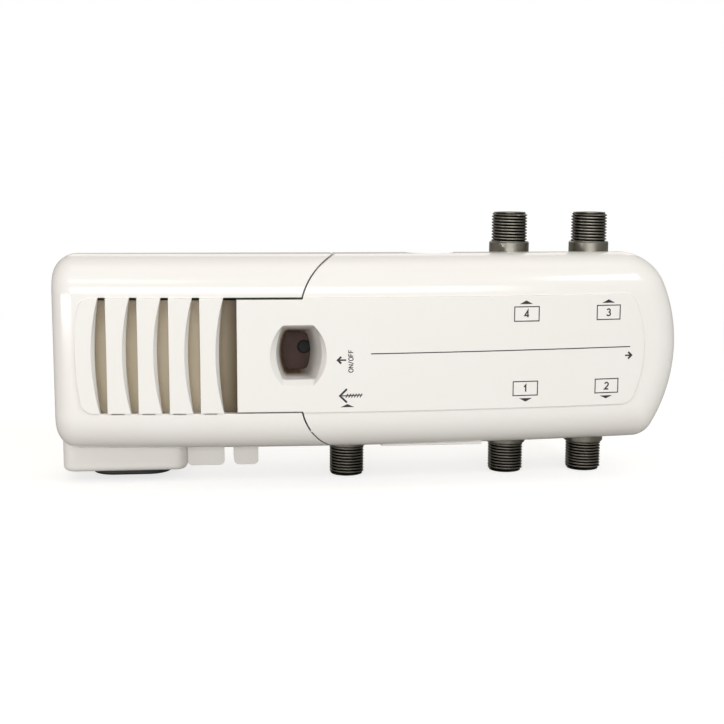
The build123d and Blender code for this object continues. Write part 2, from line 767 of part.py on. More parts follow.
with BuildPart() as base_tray:
    extrude(body_outline(0, tray_inset, tray_corner, tray_lower_corner), amount=-tray_front_y)
    chamfer(base_tray.faces().sort_by(Axis.Y)[-1].edges(), tray_back_edge)
    for side in (down, up):
        inner_z = side * tray_inner_half
        outer_z = side * tray_half_height
        groove_z = side * (tray_half_height - groove_depth)
        box_at(
            (rail_left_x - rail_stop, rail_right_x + rail_stop), (rail_front_y, tray_front_y),
            (min(inner_z, outer_z), max(inner_z, outer_z)),
        )
        box_at(
            (rail_left_x, rail_right_x), (hook_front_y - groove_clearance, hook_back_y + groove_clearance),
            (min(groove_z, outer_z), max(groove_z, outer_z)), Mode.SUBTRACT,
        )
    add(inlet_bulge.part)
    for lug_x, lug_length in ((first_lug_x, first_lug_length), (second_lug_x, second_lug_length)):
        lug_front_y = rim_y + lug_setback
        with BuildSketch(facing(lug_front_y + lug_thick)) as lug:
            with Locations((lug_x, -half_height - lug_drop)):
                Rectangle(lug_length, lug_drop + tray_inset + tray_wall / 2, align=(Align.MIN, Align.MIN))
            fillet(lug.vertices().group_by(Axis.Z)[0], lug_radius)
        extrude(lug.sketch, amount=lug_thick)
    inner_corners = (tray_corner - tray_wall, tray_lower_corner - tray_wall)
    hollow = body_outline(-tray_back, tray_inset + tray_wall, *inner_corners)
    extrude(hollow, amount=overrun - tray_back - rail_front_y, mode=Mode.SUBTRACT)
    box_at(
        (bulge_inner_left_x, bulge_inner_right_x), (bulge_front_y + bulge_wall, -tray_back),
        (bulge_foot_z + bulge_wall, -tray_inner_half), Mode.SUBTRACT,
    )
    for lobe in (down, up):
        lobe_x = inlet_x + lobe * inlet_pin_spacing / 2
        lobe_radius = inlet_lobe_radius + inlet_wall + inlet_clearance
        post_at(lobe_x, inlet_y, lobe_radius, bulge_foot_z - overrun, bulge_foot_z + overrun, Mode.SUBTRACT)
    waist_half = inlet_waist / 2 + inlet_wall + inlet_clearance
    box_at(
        (inlet_x - inlet_pin_spacing / 2, inlet_x + inlet_pin_spacing / 2),
        (inlet_y - waist_half, inlet_y + waist_half),
        (bulge_foot_z - overrun, bulge_foot_z + overrun), Mode.SUBTRACT,
    )
    for port_name, port_x, side in port_places:
        notch_radius = collar_radius + collar_clearance
        post_at(port_x, port_y, notch_radius, side * chassis_half, side * half_height, Mode.SUBTRACT)
        notch_z = (side * chassis_half, side * half_height)
        box_at(
            (port_x - notch_radius, port_x + notch_radius), (rail_front_y - overrun, port_y),
            (min(notch_z), max(notch_z)), Mode.SUBTRACT,
        )
    for vent in range(vent_count):
        vent_x = vent_first_x + vent * vent_pitch
        box_at(
            (vent_x - vent_width / 2, vent_x + vent_width / 2),
            (-vent_back_offset - vent_length, -vent_back_offset), (chassis_half, half_height), Mode.SUBTRACT,
        )
    for side in (down, up):
        hole_x = side * keyhole_x
        room = keyhole_radius + pocket_margin
        room_top = keyhole_slot_rise + keyhole_slot_width / 2 + pocket_margin
        box_at(
            (hole_x - room - pocket_wall, hole_x + room + pocket_wall),
            (-pocket_depth - pocket_wall, -tray_back), (-room - pocket_wall, room_top + pocket_wall),
        )
        box_at(
            (hole_x - room, hole_x + room), (-pocket_depth, -tray_back), (-room, room_top), Mode.SUBTRACT
        )
        peg_at(hole_x, 0, keyhole_radius, 0, -tray_back, Mode.SUBTRACT)
        peg_at(hole_x, keyhole_slot_rise, keyhole_slot_width / 2, 0, -tray_back, Mode.SUBTRACT)
        box_at(
            (hole_x - keyhole_slot_width / 2, hole_x + keyhole_slot_width / 2), (-tray_back, 0),
            (0, keyhole_slot_rise), Mode.SUBTRACT,
        )
    for post_x in (post_left_x, post_right_x):
        for side in (down, up):
            post_back_y = -tray_back - supply_post_height
            peg_at(post_x, side * post_z, post_radius, -tray_back, post_back_y)
            peg_at(
                post_x, side * post_z, small_pilot_radius, post_back_y + post_screw_depth, post_back_y,
                Mode.SUBTRACT,
            )
    for screw_x, screw_z in chassis_screw_spots:
        peg_at(screw_x, screw_z, chassis_boss_radius, -tray_back, chassis_back_y)
        screw_end_y = rf_board_front_y + chassis_screw_length
        peg_at(screw_x, screw_z, small_pilot_radius, screw_end_y + edge_break, chassis_back_y, Mode.SUBTRACT)
    for boss_x, boss_z in housing_boss_spots:
        peg_at(boss_x, boss_z, screw_radius + counterbore_clearance, 0, -tray_back, Mode.SUBTRACT)
        peg_at(
            boss_x, boss_z, screw_head_radius + counterbore_clearance, 0, -counterbore_depth, Mode.SUBTRACT
        )
base_tray.part.label = "base_tray"
export_step(base_tray.part, "parts/base_tray.step")


def figure_eight(z, margin):
    """Outline of the mains inlet's socket at height z: two lobes and their waist, enlarged by margin."""
    with BuildSketch(Plane.XY.offset(z)) as outline:
        with Locations((inlet_x, inlet_y)):
            with GridLocations(inlet_pin_spacing, 0, 2, 1):
                Circle(inlet_lobe_radius + margin)
            Rectangle(inlet_pin_spacing, inlet_waist + 2 * margin)
    return outline.sketch


# Mains inlet: two-lobed socket with a flange under the bulge
flange_radius = inlet_lobe_radius + inlet_wall + inlet_flange_rim
with BuildPart() as mains_inlet:
    with BuildSketch(Plane.XY.offset(inlet_mouth_z)):
        with Locations((inlet_x, inlet_y)):
            SlotCenterToCenter(inlet_pin_spacing, 2 * flange_radius)
    extrude(amount=inlet_flange_thick)
    chamfer(mains_inlet.faces().sort_by(Axis.Z)[0].edges(), inlet_flange_chamfer)
    extrude(figure_eight(bulge_foot_z, inlet_wall), amount=inlet_top_z - bulge_foot_z)
    extrude(figure_eight(inlet_mouth_z, 0), amount=inlet_socket_depth, mode=Mode.SUBTRACT)
    for lobe in (down, up):
        lobe_x = inlet_x + lobe * inlet_pin_spacing / 2
        post_at(lobe_x, inlet_y, inlet_pin_radius + fit_clearance, inlet_base_z, inlet_top_z, Mode.SUBTRACT)
mains_inlet.part.label = "mains_inlet"
export_step(mains_inlet.part, "parts/mains_inlet.step")

# Inlet pins, each with a tag bent back to the supply board
for pin_name, lobe in (("1", down), ("2", up)):
    pin_x = inlet_x + lobe * inlet_pin_spacing / 2
    tag_z = inlet_top_z + inlet_tag_rise
    with BuildPart() as inlet_pin:
        post_at(pin_x, inlet_y, inlet_pin_radius, inlet_mouth_z + inlet_pin_recess, inlet_top_z)
        fillet(inlet_pin.faces().sort_by(Axis.Z)[0].edges(), edge_break)
        post_at(pin_x, inlet_y, inlet_tag_radius, inlet_top_z, tag_z)
        peg_at(pin_x, tag_z - inlet_tag_radius, inlet_tag_radius, supply_front_y, inlet_y)
    inlet_pin.part.label = "inlet_pin_" + pin_name
    export_step(inlet_pin.part, f"parts/inlet_pin_{pin_name}.step")

# Supply board, notched round the housing's bosses
with BuildPart() as supply_board:
    box_at(
        (supply_left_x, supply_right_x), (supply_front_y, supply_front_y + board_thick),
        (-supply_half, supply_half),
    )
    for boss_x, boss_z in housing_boss_spots:
        peg_at(boss_x, boss_z, housing_boss_radius + slide_gap, 0, supply_front_y, Mode.SUBTRACT)
    for post_x in (post_left_x, post_right_x):
        for side in (down, up):
            hole_radius = small_screw_radius + counterbore_clearance
            peg_at(post_x, side * post_z, hole_radius, 0, supply_front_y, Mode.SUBTRACT)
supply_board.part.label = "supply_board"
export_step(supply_board.part, "parts/supply_board.step")

# Transformer: closed ferrite frame with a middle leg, and the winding round that leg
window_half = core_height / 2 - core_yoke
with BuildPart() as transformer_core:
    with Locations((core_x, core_y, core_z)):
        Box(core_length, core_thick, core_height)
    for side in (down, up):
        window = (core_x + side * core_leg / 2, core_x + side * (core_length / 2 - core_side_leg))
        box_at(
            (min(window), max(window)), (core_y - core_thick, core_y + core_thick),
            (core_z - window_half, core_z + window_half), Mode.SUBTRACT,
        )
transformer_core.part.label = "transformer_core"
export_step(transformer_core.part, "parts/transformer_core.step")

with BuildPart() as transformer_winding:
    winding_height = 2 * (window_half - seat_gap)
    leg_room = 2 * seat_gap
    with Locations((core_x, core_y, core_z)):
        Box(
            core_leg + leg_room + 2 * winding_wall, core_thick + leg_room + 2 * winding_wall, winding_height
        )
        fillet(transformer_winding.edges().filter_by(Axis.Z), winding_radius)
        Box(core_leg + leg_room, core_thick + leg_room, winding_height, mode=Mode.SUBTRACT)
transformer_winding.part.label = "transformer_winding"
export_step(transformer_winding.part, "parts/transformer_winding.step")

# Round parts that stand on the supply board
input_cap_height = baffle_room(input_cap_x, input_cap_gap)
output_cap_height = baffle_room(output_cap_x, output_cap_gap)
for can_name, can_x, can_z, can_radius, can_height in (
    ("input_capacitor", input_cap_x, input_cap_z, input_cap_radius, input_cap_height),
    ("output_capacitor", output_cap_x, output_cap_z, output_cap_radius, output_cap_height),
    ("line_fuse", fuse_x, fuse_z, fuse_radius, fuse_height),
):
    with BuildPart() as can:
        peg_at(can_x, can_z, can_radius, supply_front_y, supply_front_y - can_height)
        fillet(can.faces().sort_by(Axis.Y)[0].edges(), can_edge)
    can.part.label = can_name
    export_step(can.part, f"parts/{can_name}.step")

with BuildPart() as line_choke:
    peg_at(choke_x, choke_z, choke_radius, supply_front_y, supply_front_y - choke_height)
    peg_at(choke_x, choke_z, choke_bore_radius, supply_front_y, supply_front_y - choke_height, Mode.SUBTRACT)
    fillet(line_choke.edges().filter_by(GeomType.CIRCLE), can_edge)
line_choke.part.label = "line_choke"
export_step(line_choke.part, "parts/line_choke.step")

# Square parts on the supply board
suppressor_height = baffle_room(suppressor_x, suppressor_gap)
with BuildPart() as suppressor_capacitor:
    box_at(
        (suppressor_x - suppressor_length / 2, suppressor_x + suppressor_length / 2),
        (supply_front_y - suppressor_height, supply_front_y),
        (suppressor_z - suppressor_width / 2, suppressor_z + suppressor_width / 2),
    )
    fillet(suppressor_capacitor.faces().sort_by(Axis.Y)[0].edges(), edge_break)
suppressor_capacitor.part.label = "suppressor_capacitor"
export_step(suppressor_capacitor.part, "parts/suppressor_capacitor.step")

with BuildPart() as supply_chip:
    box_at(
        (chip_x - chip_length / 2, chip_x + chip_length / 2), (supply_front_y - chip_height, supply_front_y),
        (chip_z - chip_width / 2, chip_z + chip_width / 2),
    )
supply_chip.part.label = "supply_chip"
export_step(supply_chip.part, "parts/supply_chip.step")

sink_height = baffle_room(sink_x, sink_gap)
with BuildPart() as heat_sink:
    box_at(
        (sink_x - sink_length / 2, sink_x + sink_length / 2), (supply_front_y - sink_height, supply_front_y),
        (sink_z - sink_width / 2, sink_z + sink_width / 2),
    )
    for groove in range(sink_groove_count):
        groove_z = sink_z + (groove - sink_groove_count // 2) * sink_width / sink_groove_count
        box_at(
            (sink_x + sink_length / 2 - sink_groove_depth, sink_x + sink_length / 2),
            (supply_front_y - sink_height, supply_front_y),
            (groove_z - sink_groove_width / 2, groove_z + sink_groove_width / 2), Mode.SUBTRACT,
        )
heat_sink.part.label = "heat_sink"
export_step(heat_sink.part, "parts/heat_sink.step")

# Push switch behind the finger recess, and its button
with BuildPart() as switch_body:
    box_at(
        (switch_x - switch_width / 2, switch_x + switch_width / 2), (switch_face_y, supply_front_y),
        (switch_z - switch_height / 2, switch_z + switch_height / 2),
    )
    fillet(switch_body.faces().sort_by(Axis.Y)[0].edges(), edge_break)
    bore_end_y = switch_face_y + button_stem + button_travel + slide_gap
    peg_at(button_x, button_z, button_radius + button_clearance, bore_end_y, switch_face_y, Mode.SUBTRACT)
switch_body.part.label = "switch_body"
export_step(switch_body.part, "parts/switch_body.step")

with BuildPart() as switch_button:
    peg_at(button_x, button_z, button_radius, switch_face_y + button_stem, switch_face_y - button_proud)
    fillet(switch_button.faces().sort_by(Axis.Y)[0].edges(), edge_break)
switch_button.part.label = "switch_button"
export_step(switch_button.part, "parts/switch_button.step")

# Chassis: cast box with a floor, board posts, shield pillars and port holes
with BuildPart() as rf_chassis:
    box_at(
        (chassis_left_x, chassis_right_x), (chassis_front_y, chassis_back_y), (-chassis_half, chassis_half)
    )
    fillet(rf_chassis.edges().filter_by(Axis.Y), chassis_corner)
    box_at(
        (chassis_inner_left_x, chassis_inner_right_x), (chassis_front_y, chassis_floor_y),
        (-chassis_inner_half, chassis_inner_half), Mode.SUBTRACT,
    )
    for spot_name, spot_x, spot_z in shield_screw_spots:
        with Locations((spot_x, (chassis_front_y + chassis_floor_y) / 2, spot_z)):
            Box(pillar_size, chassis_floor_y - chassis_front_y, pillar_size)
        peg_at(
            spot_x, spot_z, shield_screw_radius + screw_pilot_clearance,
            chassis_front_y + shield_screw_length, chassis_front_y, Mode.SUBTRACT,
        )
    for screw_x, screw_z in chassis_screw_spots:
        peg_at(screw_x, screw_z, rf_post_radius, chassis_floor_y, rf_board_back_y)
        hole_radius = small_screw_radius + counterbore_clearance
        peg_at(screw_x, screw_z, hole_radius, chassis_back_y, rf_board_back_y, Mode.SUBTRACT)
    for port_name, port_x, side in port_places:
        hole_radius = spigot_radius + fit_clearance
        post_at(port_x, port_y, hole_radius, side * chassis_inner_half, side * chassis_half, Mode.SUBTRACT)
    with BuildSketch(Plane.YZ.offset(chassis_left_x)) as feed_hole:
        with Locations((feed_y, feed_z)):
            Circle(feed_bush_radius + fit_clearance)
    extrude(feed_hole.sketch, amount=chassis_wall, mode=Mode.SUBTRACT)
rf_chassis.part.label = "rf_chassis"
export_step(rf_chassis.part, "parts/rf_chassis.step")

# Sheet shield over the chassis, with skirts inside its walls and a hole for the knob
with BuildPart() as rf_shield:
    box_at(
        (chassis_left_x, chassis_right_x), (shield_front_y, chassis_front_y), (-chassis_half, chassis_half)
    )
    fillet(rf_shield.edges().filter_by(Axis.Y), chassis_corner)
    skirt_outer = chassis_inner_half - chassis_gap
    for side in (down, up):
        skirt_z = (side * skirt_outer, side * (skirt_outer - shield_thick))
        box_at(
            (chassis_left_x + skirt_margin, chassis_right_x - skirt_margin),
            (chassis_front_y, chassis_front_y + shield_skirt), (min(skirt_z), max(skirt_z)),
        )
    knob_hole_radius = knob_radius + shield_hole_clearance
    peg_at(trimmer_x, trimmer_z, knob_hole_radius, chassis_front_y, shield_front_y, Mode.SUBTRACT)
    for spot_name, spot_x, spot_z in shield_screw_spots:
        hole_radius = shield_screw_radius + counterbore_clearance
        peg_at(spot_x, spot_z, hole_radius, chassis_front_y, shield_front_y, Mode.SUBTRACT)
rf_shield.part.label = "rf_shield"
export_step(rf_shield.part, "parts/rf_shield.step")

# Radio-frequency board, notched round the shield pillars
with BuildPart() as rf_board:
    box_at(
        (chassis_inner_left_x + rf_board_edge_gap, chassis_inner_right_x - rf_board_edge_gap),
        (rf_board_front_y, rf_board_back_y),
        (rf_board_edge_gap - chassis_inner_half, chassis_inner_half - rf_board_edge_gap),
    )
    for spot_name, spot_x, spot_z in shield_screw_spots:
        with Locations((spot_x, rf_board_front_y, spot_z)):
            Box(pillar_size + 2 * slide_gap, 2 * board_thick, pillar_size + 2 * slide_gap, mode=Mode.SUBTRACT)
    for screw_x, screw_z in chassis_screw_spots:
        hole_radius = small_screw_radius + counterbore_clearance
        peg_at(screw_x, screw_z, hole_radius, rf_board_back_y, rf_board_front_y, Mode.SUBTRACT)
rf_board.part.label = "rf_board"
export_step(rf_board.part, "parts/rf_board.step")

# Parts on the radio-frequency board
with BuildPart() as amplifier_chip:
    box_at(
        (amp_x - amp_size / 2, amp_x + amp_size / 2), (rf_board_front_y - amp_height, rf_board_front_y),
        (amp_z - amp_size / 2, amp_z + amp_size / 2),
    )
amplifier_chip.part.label = "amplifier_chip"
export_step(amplifier_chip.part, "parts/amplifier_chip.step")

with BuildPart() as filter_can:
    box_at(
        (filter_x - filter_length / 2, filter_x + filter_length / 2),
        (rf_board_front_y - filter_height, rf_board_front_y),
        (filter_z - filter_width / 2, filter_z + filter_width / 2),
    )
    fillet(filter_can.faces().sort_by(Axis.Y)[0].edges(), can_edge)
filter_can.part.label = "filter_can"
export_step(filter_can.part, "parts/filter_can.step")

for splitter_name, share_x, share_z in splitter_shares:
    splitter_x = chassis_left_x + share_x * chassis_length
    splitter_z = share_z * chassis_half
    splitter_y = rf_board_front_y - splitter_height / 2
    with BuildPart() as splitter_core:
        with Locations((splitter_x, splitter_y, splitter_z)):
            Box(splitter_length, splitter_height, splitter_width)
        fillet(splitter_core.edges().filter_by(Axis.Z), can_edge)
        for side in (down, up):
            bore_x = splitter_x + side * splitter_bore_spacing / 2
            post_at(
                bore_x, splitter_y, splitter_bore_radius, splitter_z - splitter_width / 2,
                splitter_z + splitter_width / 2, Mode.SUBTRACT,
            )
    splitter_core.part.label = "splitter_core_" + splitter_name
    export_step(splitter_core.part, f"parts/splitter_core_{splitter_name}.step")

for coil_name, share_x, share_z in coil_shares:
    coil_left_x = chassis_left_x + share_x * chassis_length - coil_length / 2
    with BuildPart() as rf_coil:
        with BuildSketch(Plane.YZ.offset(coil_left_x)) as turn:
            with Locations((rf_board_front_y - coil_radius - seat_gap, share_z * chassis_half)):
                Circle(coil_radius)
        extrude(turn.sketch, amount=coil_length)
    rf_coil.part.label = "rf_coil_" + coil_name
    export_step(rf_coil.part, f"parts/rf_coil_{coil_name}.step")

# Threaded ports with their insulators and centre contacts
for port_name, port_x, side in port_places:
    outer_face = -1 if side == up else 0
    with BuildPart() as f_port:
        post_at(port_x, port_y, thread_radius, side * collar_end, side * port_reach)
        chamfer(f_port.faces().sort_by(Axis.Z)[outer_face].edges(), thread_chamfer)
        for flat_side in (down, up):
            flat_x = (port_x + flat_side * flat_distance, port_x + flat_side * collar_radius)
            thread_z = (side * collar_end, side * port_reach)
            box_at(
                (min(flat_x), max(flat_x)), (port_y - collar_radius, port_y + collar_radius),
                (min(thread_z), max(thread_z)), Mode.SUBTRACT,
            )
        post_at(port_x, port_y, collar_radius, side * chassis_half, side * collar_end)
        post_at(port_x, port_y, spigot_radius, side * chassis_inner_half, side * chassis_half)
        post_at(
            port_x, port_y, port_bore_radius, side * chassis_inner_half, side * port_reach, Mode.SUBTRACT
        )
    f_port.part.label = "f_port_" + port_name
    export_step(f_port.part, f"parts/f_port_{port_name}.step")

    contact_front = insulator_front - insulator_front_wall - seat_gap
    contact_back = chassis_inner_half + insulator_rear_wall + seat_gap
    tail_hole_radius = contact_tail_radius + fit_clearance
    with BuildPart() as port_insulator:
        sleeve_radius = port_bore_radius - fit_clearance
        post_at(port_x, port_y, sleeve_radius, side * chassis_inner_half, side * insulator_front)
        post_at(
            port_x, port_y, contact_radius + fit_clearance, side * (contact_back - seat_gap),
            side * (contact_front + seat_gap), Mode.SUBTRACT,
        )
        post_at(
            port_x, port_y, contact_hole_radius, side * contact_front, side * insulator_front, Mode.SUBTRACT
        )
        post_at(
            port_x, port_y, tail_hole_radius, side * chassis_inner_half, side * contact_back, Mode.SUBTRACT
        )
    port_insulator.part.label = "port_insulator_" + port_name
    export_step(port_insulator.part, f"parts/port_insulator_{port_name}.step")

    with BuildPart() as port_contact:
        post_at(port_x, port_y, contact_radius, side * contact_back, side * contact_front)
        post_at(
            port_x, port_y, contact_bore_radius, side * (contact_back + contact_root),
            side * contact_front, Mode.SUBTRACT,
        )
        tail_end = chassis_inner_half - contact_tail_length
        post_at(port_x, port_y, contact_tail_radius, side * tail_end, side * contact_back)
    port_contact.part.label = "port_contact_" + port_name
    export_step(port_contact.part, f"parts/port_contact_{port_name}.step")

# Level adjuster: body on the board, knob through the shield
with BuildPart() as gain_trimmer:
    box_at(
        (trimmer_x - trimmer_size / 2, trimmer_x + trimmer_size / 2), (trimmer_front_y, rf_board_front_y),
        (trimmer_z - trimmer_size / 2, trimmer_z + trimmer_size / 2),
    )
    peg_at(
        trimmer_x, trimmer_z, knob_stem_radius + knob_clearance, knob_stem_y + slide_gap, trimmer_front_y,
        Mode.SUBTRACT,
    )
gain_trimmer.part.label = "gain_trimmer"
export_step(gain_trimmer.part, "parts/gain_trimmer.step")

with BuildPart() as gain_knob:
    peg_at(trimmer_x, trimmer_z, knob_radius, knob_back_y, knob_front_y)
    fillet(gain_knob.faces().sort_by(Axis.Y)[0].edges(), edge_break)
    box_at(
        (trimmer_x - knob_slot_width / 2, trimmer_x + knob_slot_width / 2),
        (knob_front_y, knob_front_y + knob_slot_depth), (trimmer_z - knob_radius, trimmer_z + knob_radius),
        Mode.SUBTRACT,
    )
    peg_at(trimmer_x, trimmer_z, knob_stem_radius, knob_stem_y, knob_back_y)
gain_knob.part.label = "gain_knob"
export_step(gain_knob.part, "parts/gain_knob.step")

# Feedthrough: insulated wire through the chassis wall, bent back to both boards
feed_left_x = feed_bush_left_x - feed_left_reach
feed_right_x = feed_bush_left_x + feed_bush_length + feed_right_reach
with BuildPart() as dc_feedthrough:
    with BuildLine() as feed_path:
        FilletPolyline(
            (feed_left_x, supply_front_y, feed_z), (feed_left_x, feed_y, feed_z),
            (feed_right_x, feed_y, feed_z), (feed_right_x, rf_board_front_y, feed_z),
            radius=feed_bend_radius,
        )
    with BuildSketch(Plane(origin=(feed_left_x, supply_front_y, feed_z), z_dir=(0, -1, 0))):
        Circle(feed_wire_radius)
    sweep(path=feed_path.line)
    with BuildSketch(Plane.YZ.offset(feed_bush_left_x)) as bush:
        with Locations((feed_y, feed_z)):
            Circle(feed_bush_radius)
    extrude(bush.sketch, amount=feed_bush_length)
dc_feedthrough.part.label = "dc_feedthrough"
export_step(dc_feedthrough.part, "parts/dc_feedthrough.step")

# Screws: shank and head, named by what they hold
front_heads = [
    (f"chassis_screw_{place + 1}", spot[0], spot[1], rf_board_front_y, chassis_screw_length)
    for place, spot in enumerate(chassis_screw_spots)
]
front_heads += [
    ("board_screw_1", post_left_x, post_z, supply_front_y, board_screw_length),
    ("board_screw_2", post_right_x, -post_z, supply_front_y, board_screw_length),
]
for screw_name, screw_x, screw_z, seat_y, screw_length in front_heads:
    with BuildPart() as front_screw:
        peg_at(screw_x, screw_z, small_screw_radius, seat_y + screw_length, seat_y)
        peg_at(screw_x, screw_z, small_head_radius, seat_y, seat_y - small_head_height)
        fillet(front_screw.faces().sort_by(Axis.Y)[0].edges(), edge_break)
    front_screw.part.label = screw_name
    export_step(front_screw.part, f"parts/{screw_name}.step")

for spot_name, spot_x, spot_z in shield_screw_spots:
    with BuildPart() as shield_screw:
        peg_at(spot_x, spot_z, shield_screw_radius, shield_front_y + shield_screw_length, shield_front_y)
        peg_at(spot_x, spot_z, shield_head_radius, shield_front_y, shield_front_y - shield_head_height)
    shield_screw.part.label = "shield_screw_" + spot_name
    export_step(shield_screw.part, f"parts/shield_screw_{spot_name}.step")

for place, (boss_x, boss_z) in enumerate(housing_boss_spots):
    with BuildPart() as housing_screw:
        peg_at(boss_x, boss_z, screw_head_radius, screw_head_height - counterbore_depth, -counterbore_depth)
        peg_at(
            boss_x, boss_z, screw_radius, -counterbore_depth, -counterbore_depth - housing_screw_length
        )
    housing_screw.part.label = f"housing_screw_{place + 1}"
    export_step(housing_screw.part, f"parts/housing_screw_{place + 1}.step")
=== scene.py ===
"""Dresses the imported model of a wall-hung television signal amplifier and sets it in a plain studio.

Sizes are in millimetres, as on a maker's drawing, and become metres when a piece takes its place in the
frame. The studio's own places and sizes are in metres.
"""
import logging
import math
from collections.abc import Iterable, Sequence
from dataclasses import dataclass, field
from enum import Enum

import bmesh
import bpy
from mathutils import Matrix, Vector


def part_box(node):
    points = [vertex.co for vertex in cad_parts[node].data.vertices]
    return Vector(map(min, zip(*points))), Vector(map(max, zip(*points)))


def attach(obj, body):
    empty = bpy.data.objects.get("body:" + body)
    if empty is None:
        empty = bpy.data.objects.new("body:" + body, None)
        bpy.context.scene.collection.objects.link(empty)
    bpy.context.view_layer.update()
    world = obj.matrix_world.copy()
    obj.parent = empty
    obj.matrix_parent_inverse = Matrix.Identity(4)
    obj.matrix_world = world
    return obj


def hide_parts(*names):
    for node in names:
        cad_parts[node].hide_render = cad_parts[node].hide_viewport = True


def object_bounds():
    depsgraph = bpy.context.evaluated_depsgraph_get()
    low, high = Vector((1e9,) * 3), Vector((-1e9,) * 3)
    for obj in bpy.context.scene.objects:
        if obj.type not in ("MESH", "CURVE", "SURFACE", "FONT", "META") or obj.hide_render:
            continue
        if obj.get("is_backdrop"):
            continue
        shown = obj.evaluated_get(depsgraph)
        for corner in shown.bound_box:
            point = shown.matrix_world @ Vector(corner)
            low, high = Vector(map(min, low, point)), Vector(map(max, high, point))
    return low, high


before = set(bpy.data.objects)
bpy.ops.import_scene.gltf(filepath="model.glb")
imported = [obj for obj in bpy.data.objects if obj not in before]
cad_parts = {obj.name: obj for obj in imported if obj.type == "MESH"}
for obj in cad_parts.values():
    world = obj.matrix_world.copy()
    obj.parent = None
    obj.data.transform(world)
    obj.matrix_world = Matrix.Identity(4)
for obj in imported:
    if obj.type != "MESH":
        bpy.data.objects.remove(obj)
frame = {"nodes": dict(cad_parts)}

log = logging.getLogger("amplifier")

MM = 0.001
SHARP_ANGLE = math.radians(35.0)
MERGE_REACH = 1e-4
FULL_TURN = 2 * math.pi
QUARTER_TURN = math.pi / 2
GROOVE_ATTRIBUTE = "groove"
PORTS = ("in", "1", "2", "3", "4")

Colour = tuple[float, float, float]
Place = tuple[float, float, float]
Point = tuple[float, float]
Span = tuple[float, float]
Socket = bpy.types.NodeSocket
Tree = bpy.types.NodeTree
WHITE: Colour = (1.0, 1.0, 1.0)


class Facing(Enum):
    """Which way the local Z axis of a piece points once the piece is in place."""

    FRONT = ((1, 0, 0), (0, 0, -1), (0, 1, 0))
    BACK = ((1, 0, 0), (0, 0, 1), (0, -1, 0))
    UP = ((1, 0, 0), (0, 1, 0), (0, 0, 1))
    DOWN = ((1, 0, 0), (0, -1, 0), (0, 0, -1))
    ALONG = ((0, 0, 1), (1, 0, 0), (0, 1, 0))

    def matrix(self, origin: Sequence[float] = (0.0, 0.0, 0.0)) -> Matrix:
        """Turns local millimetres into metres of the frame.

        Args:
            origin: where the local origin goes, in metres.

        Returns:
            The matrix for a mesh drawn in local millimetres.
        """
        return Matrix.Translation(origin) @ Matrix(self.value).to_4x4() @ Matrix.Scale(MM, 4)


class Pattern(Enum):
    """Fine structure of a surface."""

    GRAIN = "moulded grain"
    CAST = "cast skin"
    BRUSHED = "brushed lines"
    PLATED = "plated and handled"
    WEAVE = "glass weave"
    SINTERED = "sintered grains"
    WOUND = "wound layers"
    INK = "printed ink"


@dataclass(frozen=True)
class PaintedShade:
    """Painted shade: where a surface is coloured darker, round a spot of the front, as ramps across and
    inwards.

    Each span gives the place in millimetres where the painted shade starts and the one where it is full.
    """

    colour: Colour
    center: Point
    radius: float
    across: Span
    inward: Span


@dataclass(frozen=True)
class Finish:
    """Colour and surface of one material.

    Lengths are in millimetres. The tint is what the base colour drifts to in broad patches, the wear and
    highlight colour is what shows along edges (wear, and on the white shell a painted highlight), the groove
    shade is painted shade in the grooves that a mesh marks on its points, and the painted shade darkens a
    spot of the front. The roughness varies by its spread, and the stretch draws the patterns out along an
    axis where it is small.
    """

    name: str
    colour: Colour
    tint: Colour
    pattern: Pattern
    roughness: float
    spread: float = 0.06
    patch_size: float = 12.0
    tint_share: float = 0.5
    grain_size: float = 0.3
    relief: float = 0.01
    metallic: float = 0.0
    edge_round: float = 0.0
    wear_and_highlight: Colour | None = None
    wear_and_highlight_share: float = 0.0
    groove_shade: Colour | None = None
    painted_shade: PaintedShade | None = None
    stretch: tuple[float, float, float] = (1.0, 1.0, 1.0)


@dataclass(frozen=True)
class Term:
    """Number on its way through a node tree. Each operator adds a Math node."""

    wiring: "Wiring"
    socket: Socket

    def __add__(self, other: "Feed") -> "Term":
        """Sum of two numbers."""
        return self.wiring.math("ADD", self, other)

    def __sub__(self, other: "Feed") -> "Term":
        """Difference of two numbers."""
        return self.wiring.math("SUBTRACT", self, other)

    def __mul__(self, other: "Feed") -> "Term":
        """Product of two numbers."""
        return self.wiring.math("MULTIPLY", self, other)

    def __truediv__(self, other: "Feed") -> "Term":
        """Quotient of two numbers."""
        return self.wiring.math("DIVIDE", self, other)


Feed = Term | Socket | float | int | bool | str | Sequence[float] | bpy.types.ID


def emptied(owner: bpy.types.Material | bpy.types.World) -> Tree:
    """Gives a material or a world a node tree with nothing in it.

    Args:
        owner: the material or world.

    Returns:
        The tree.
    """
    owner.use_nodes = True
    owner.node_tree.nodes.clear()
    return owner.node_tree


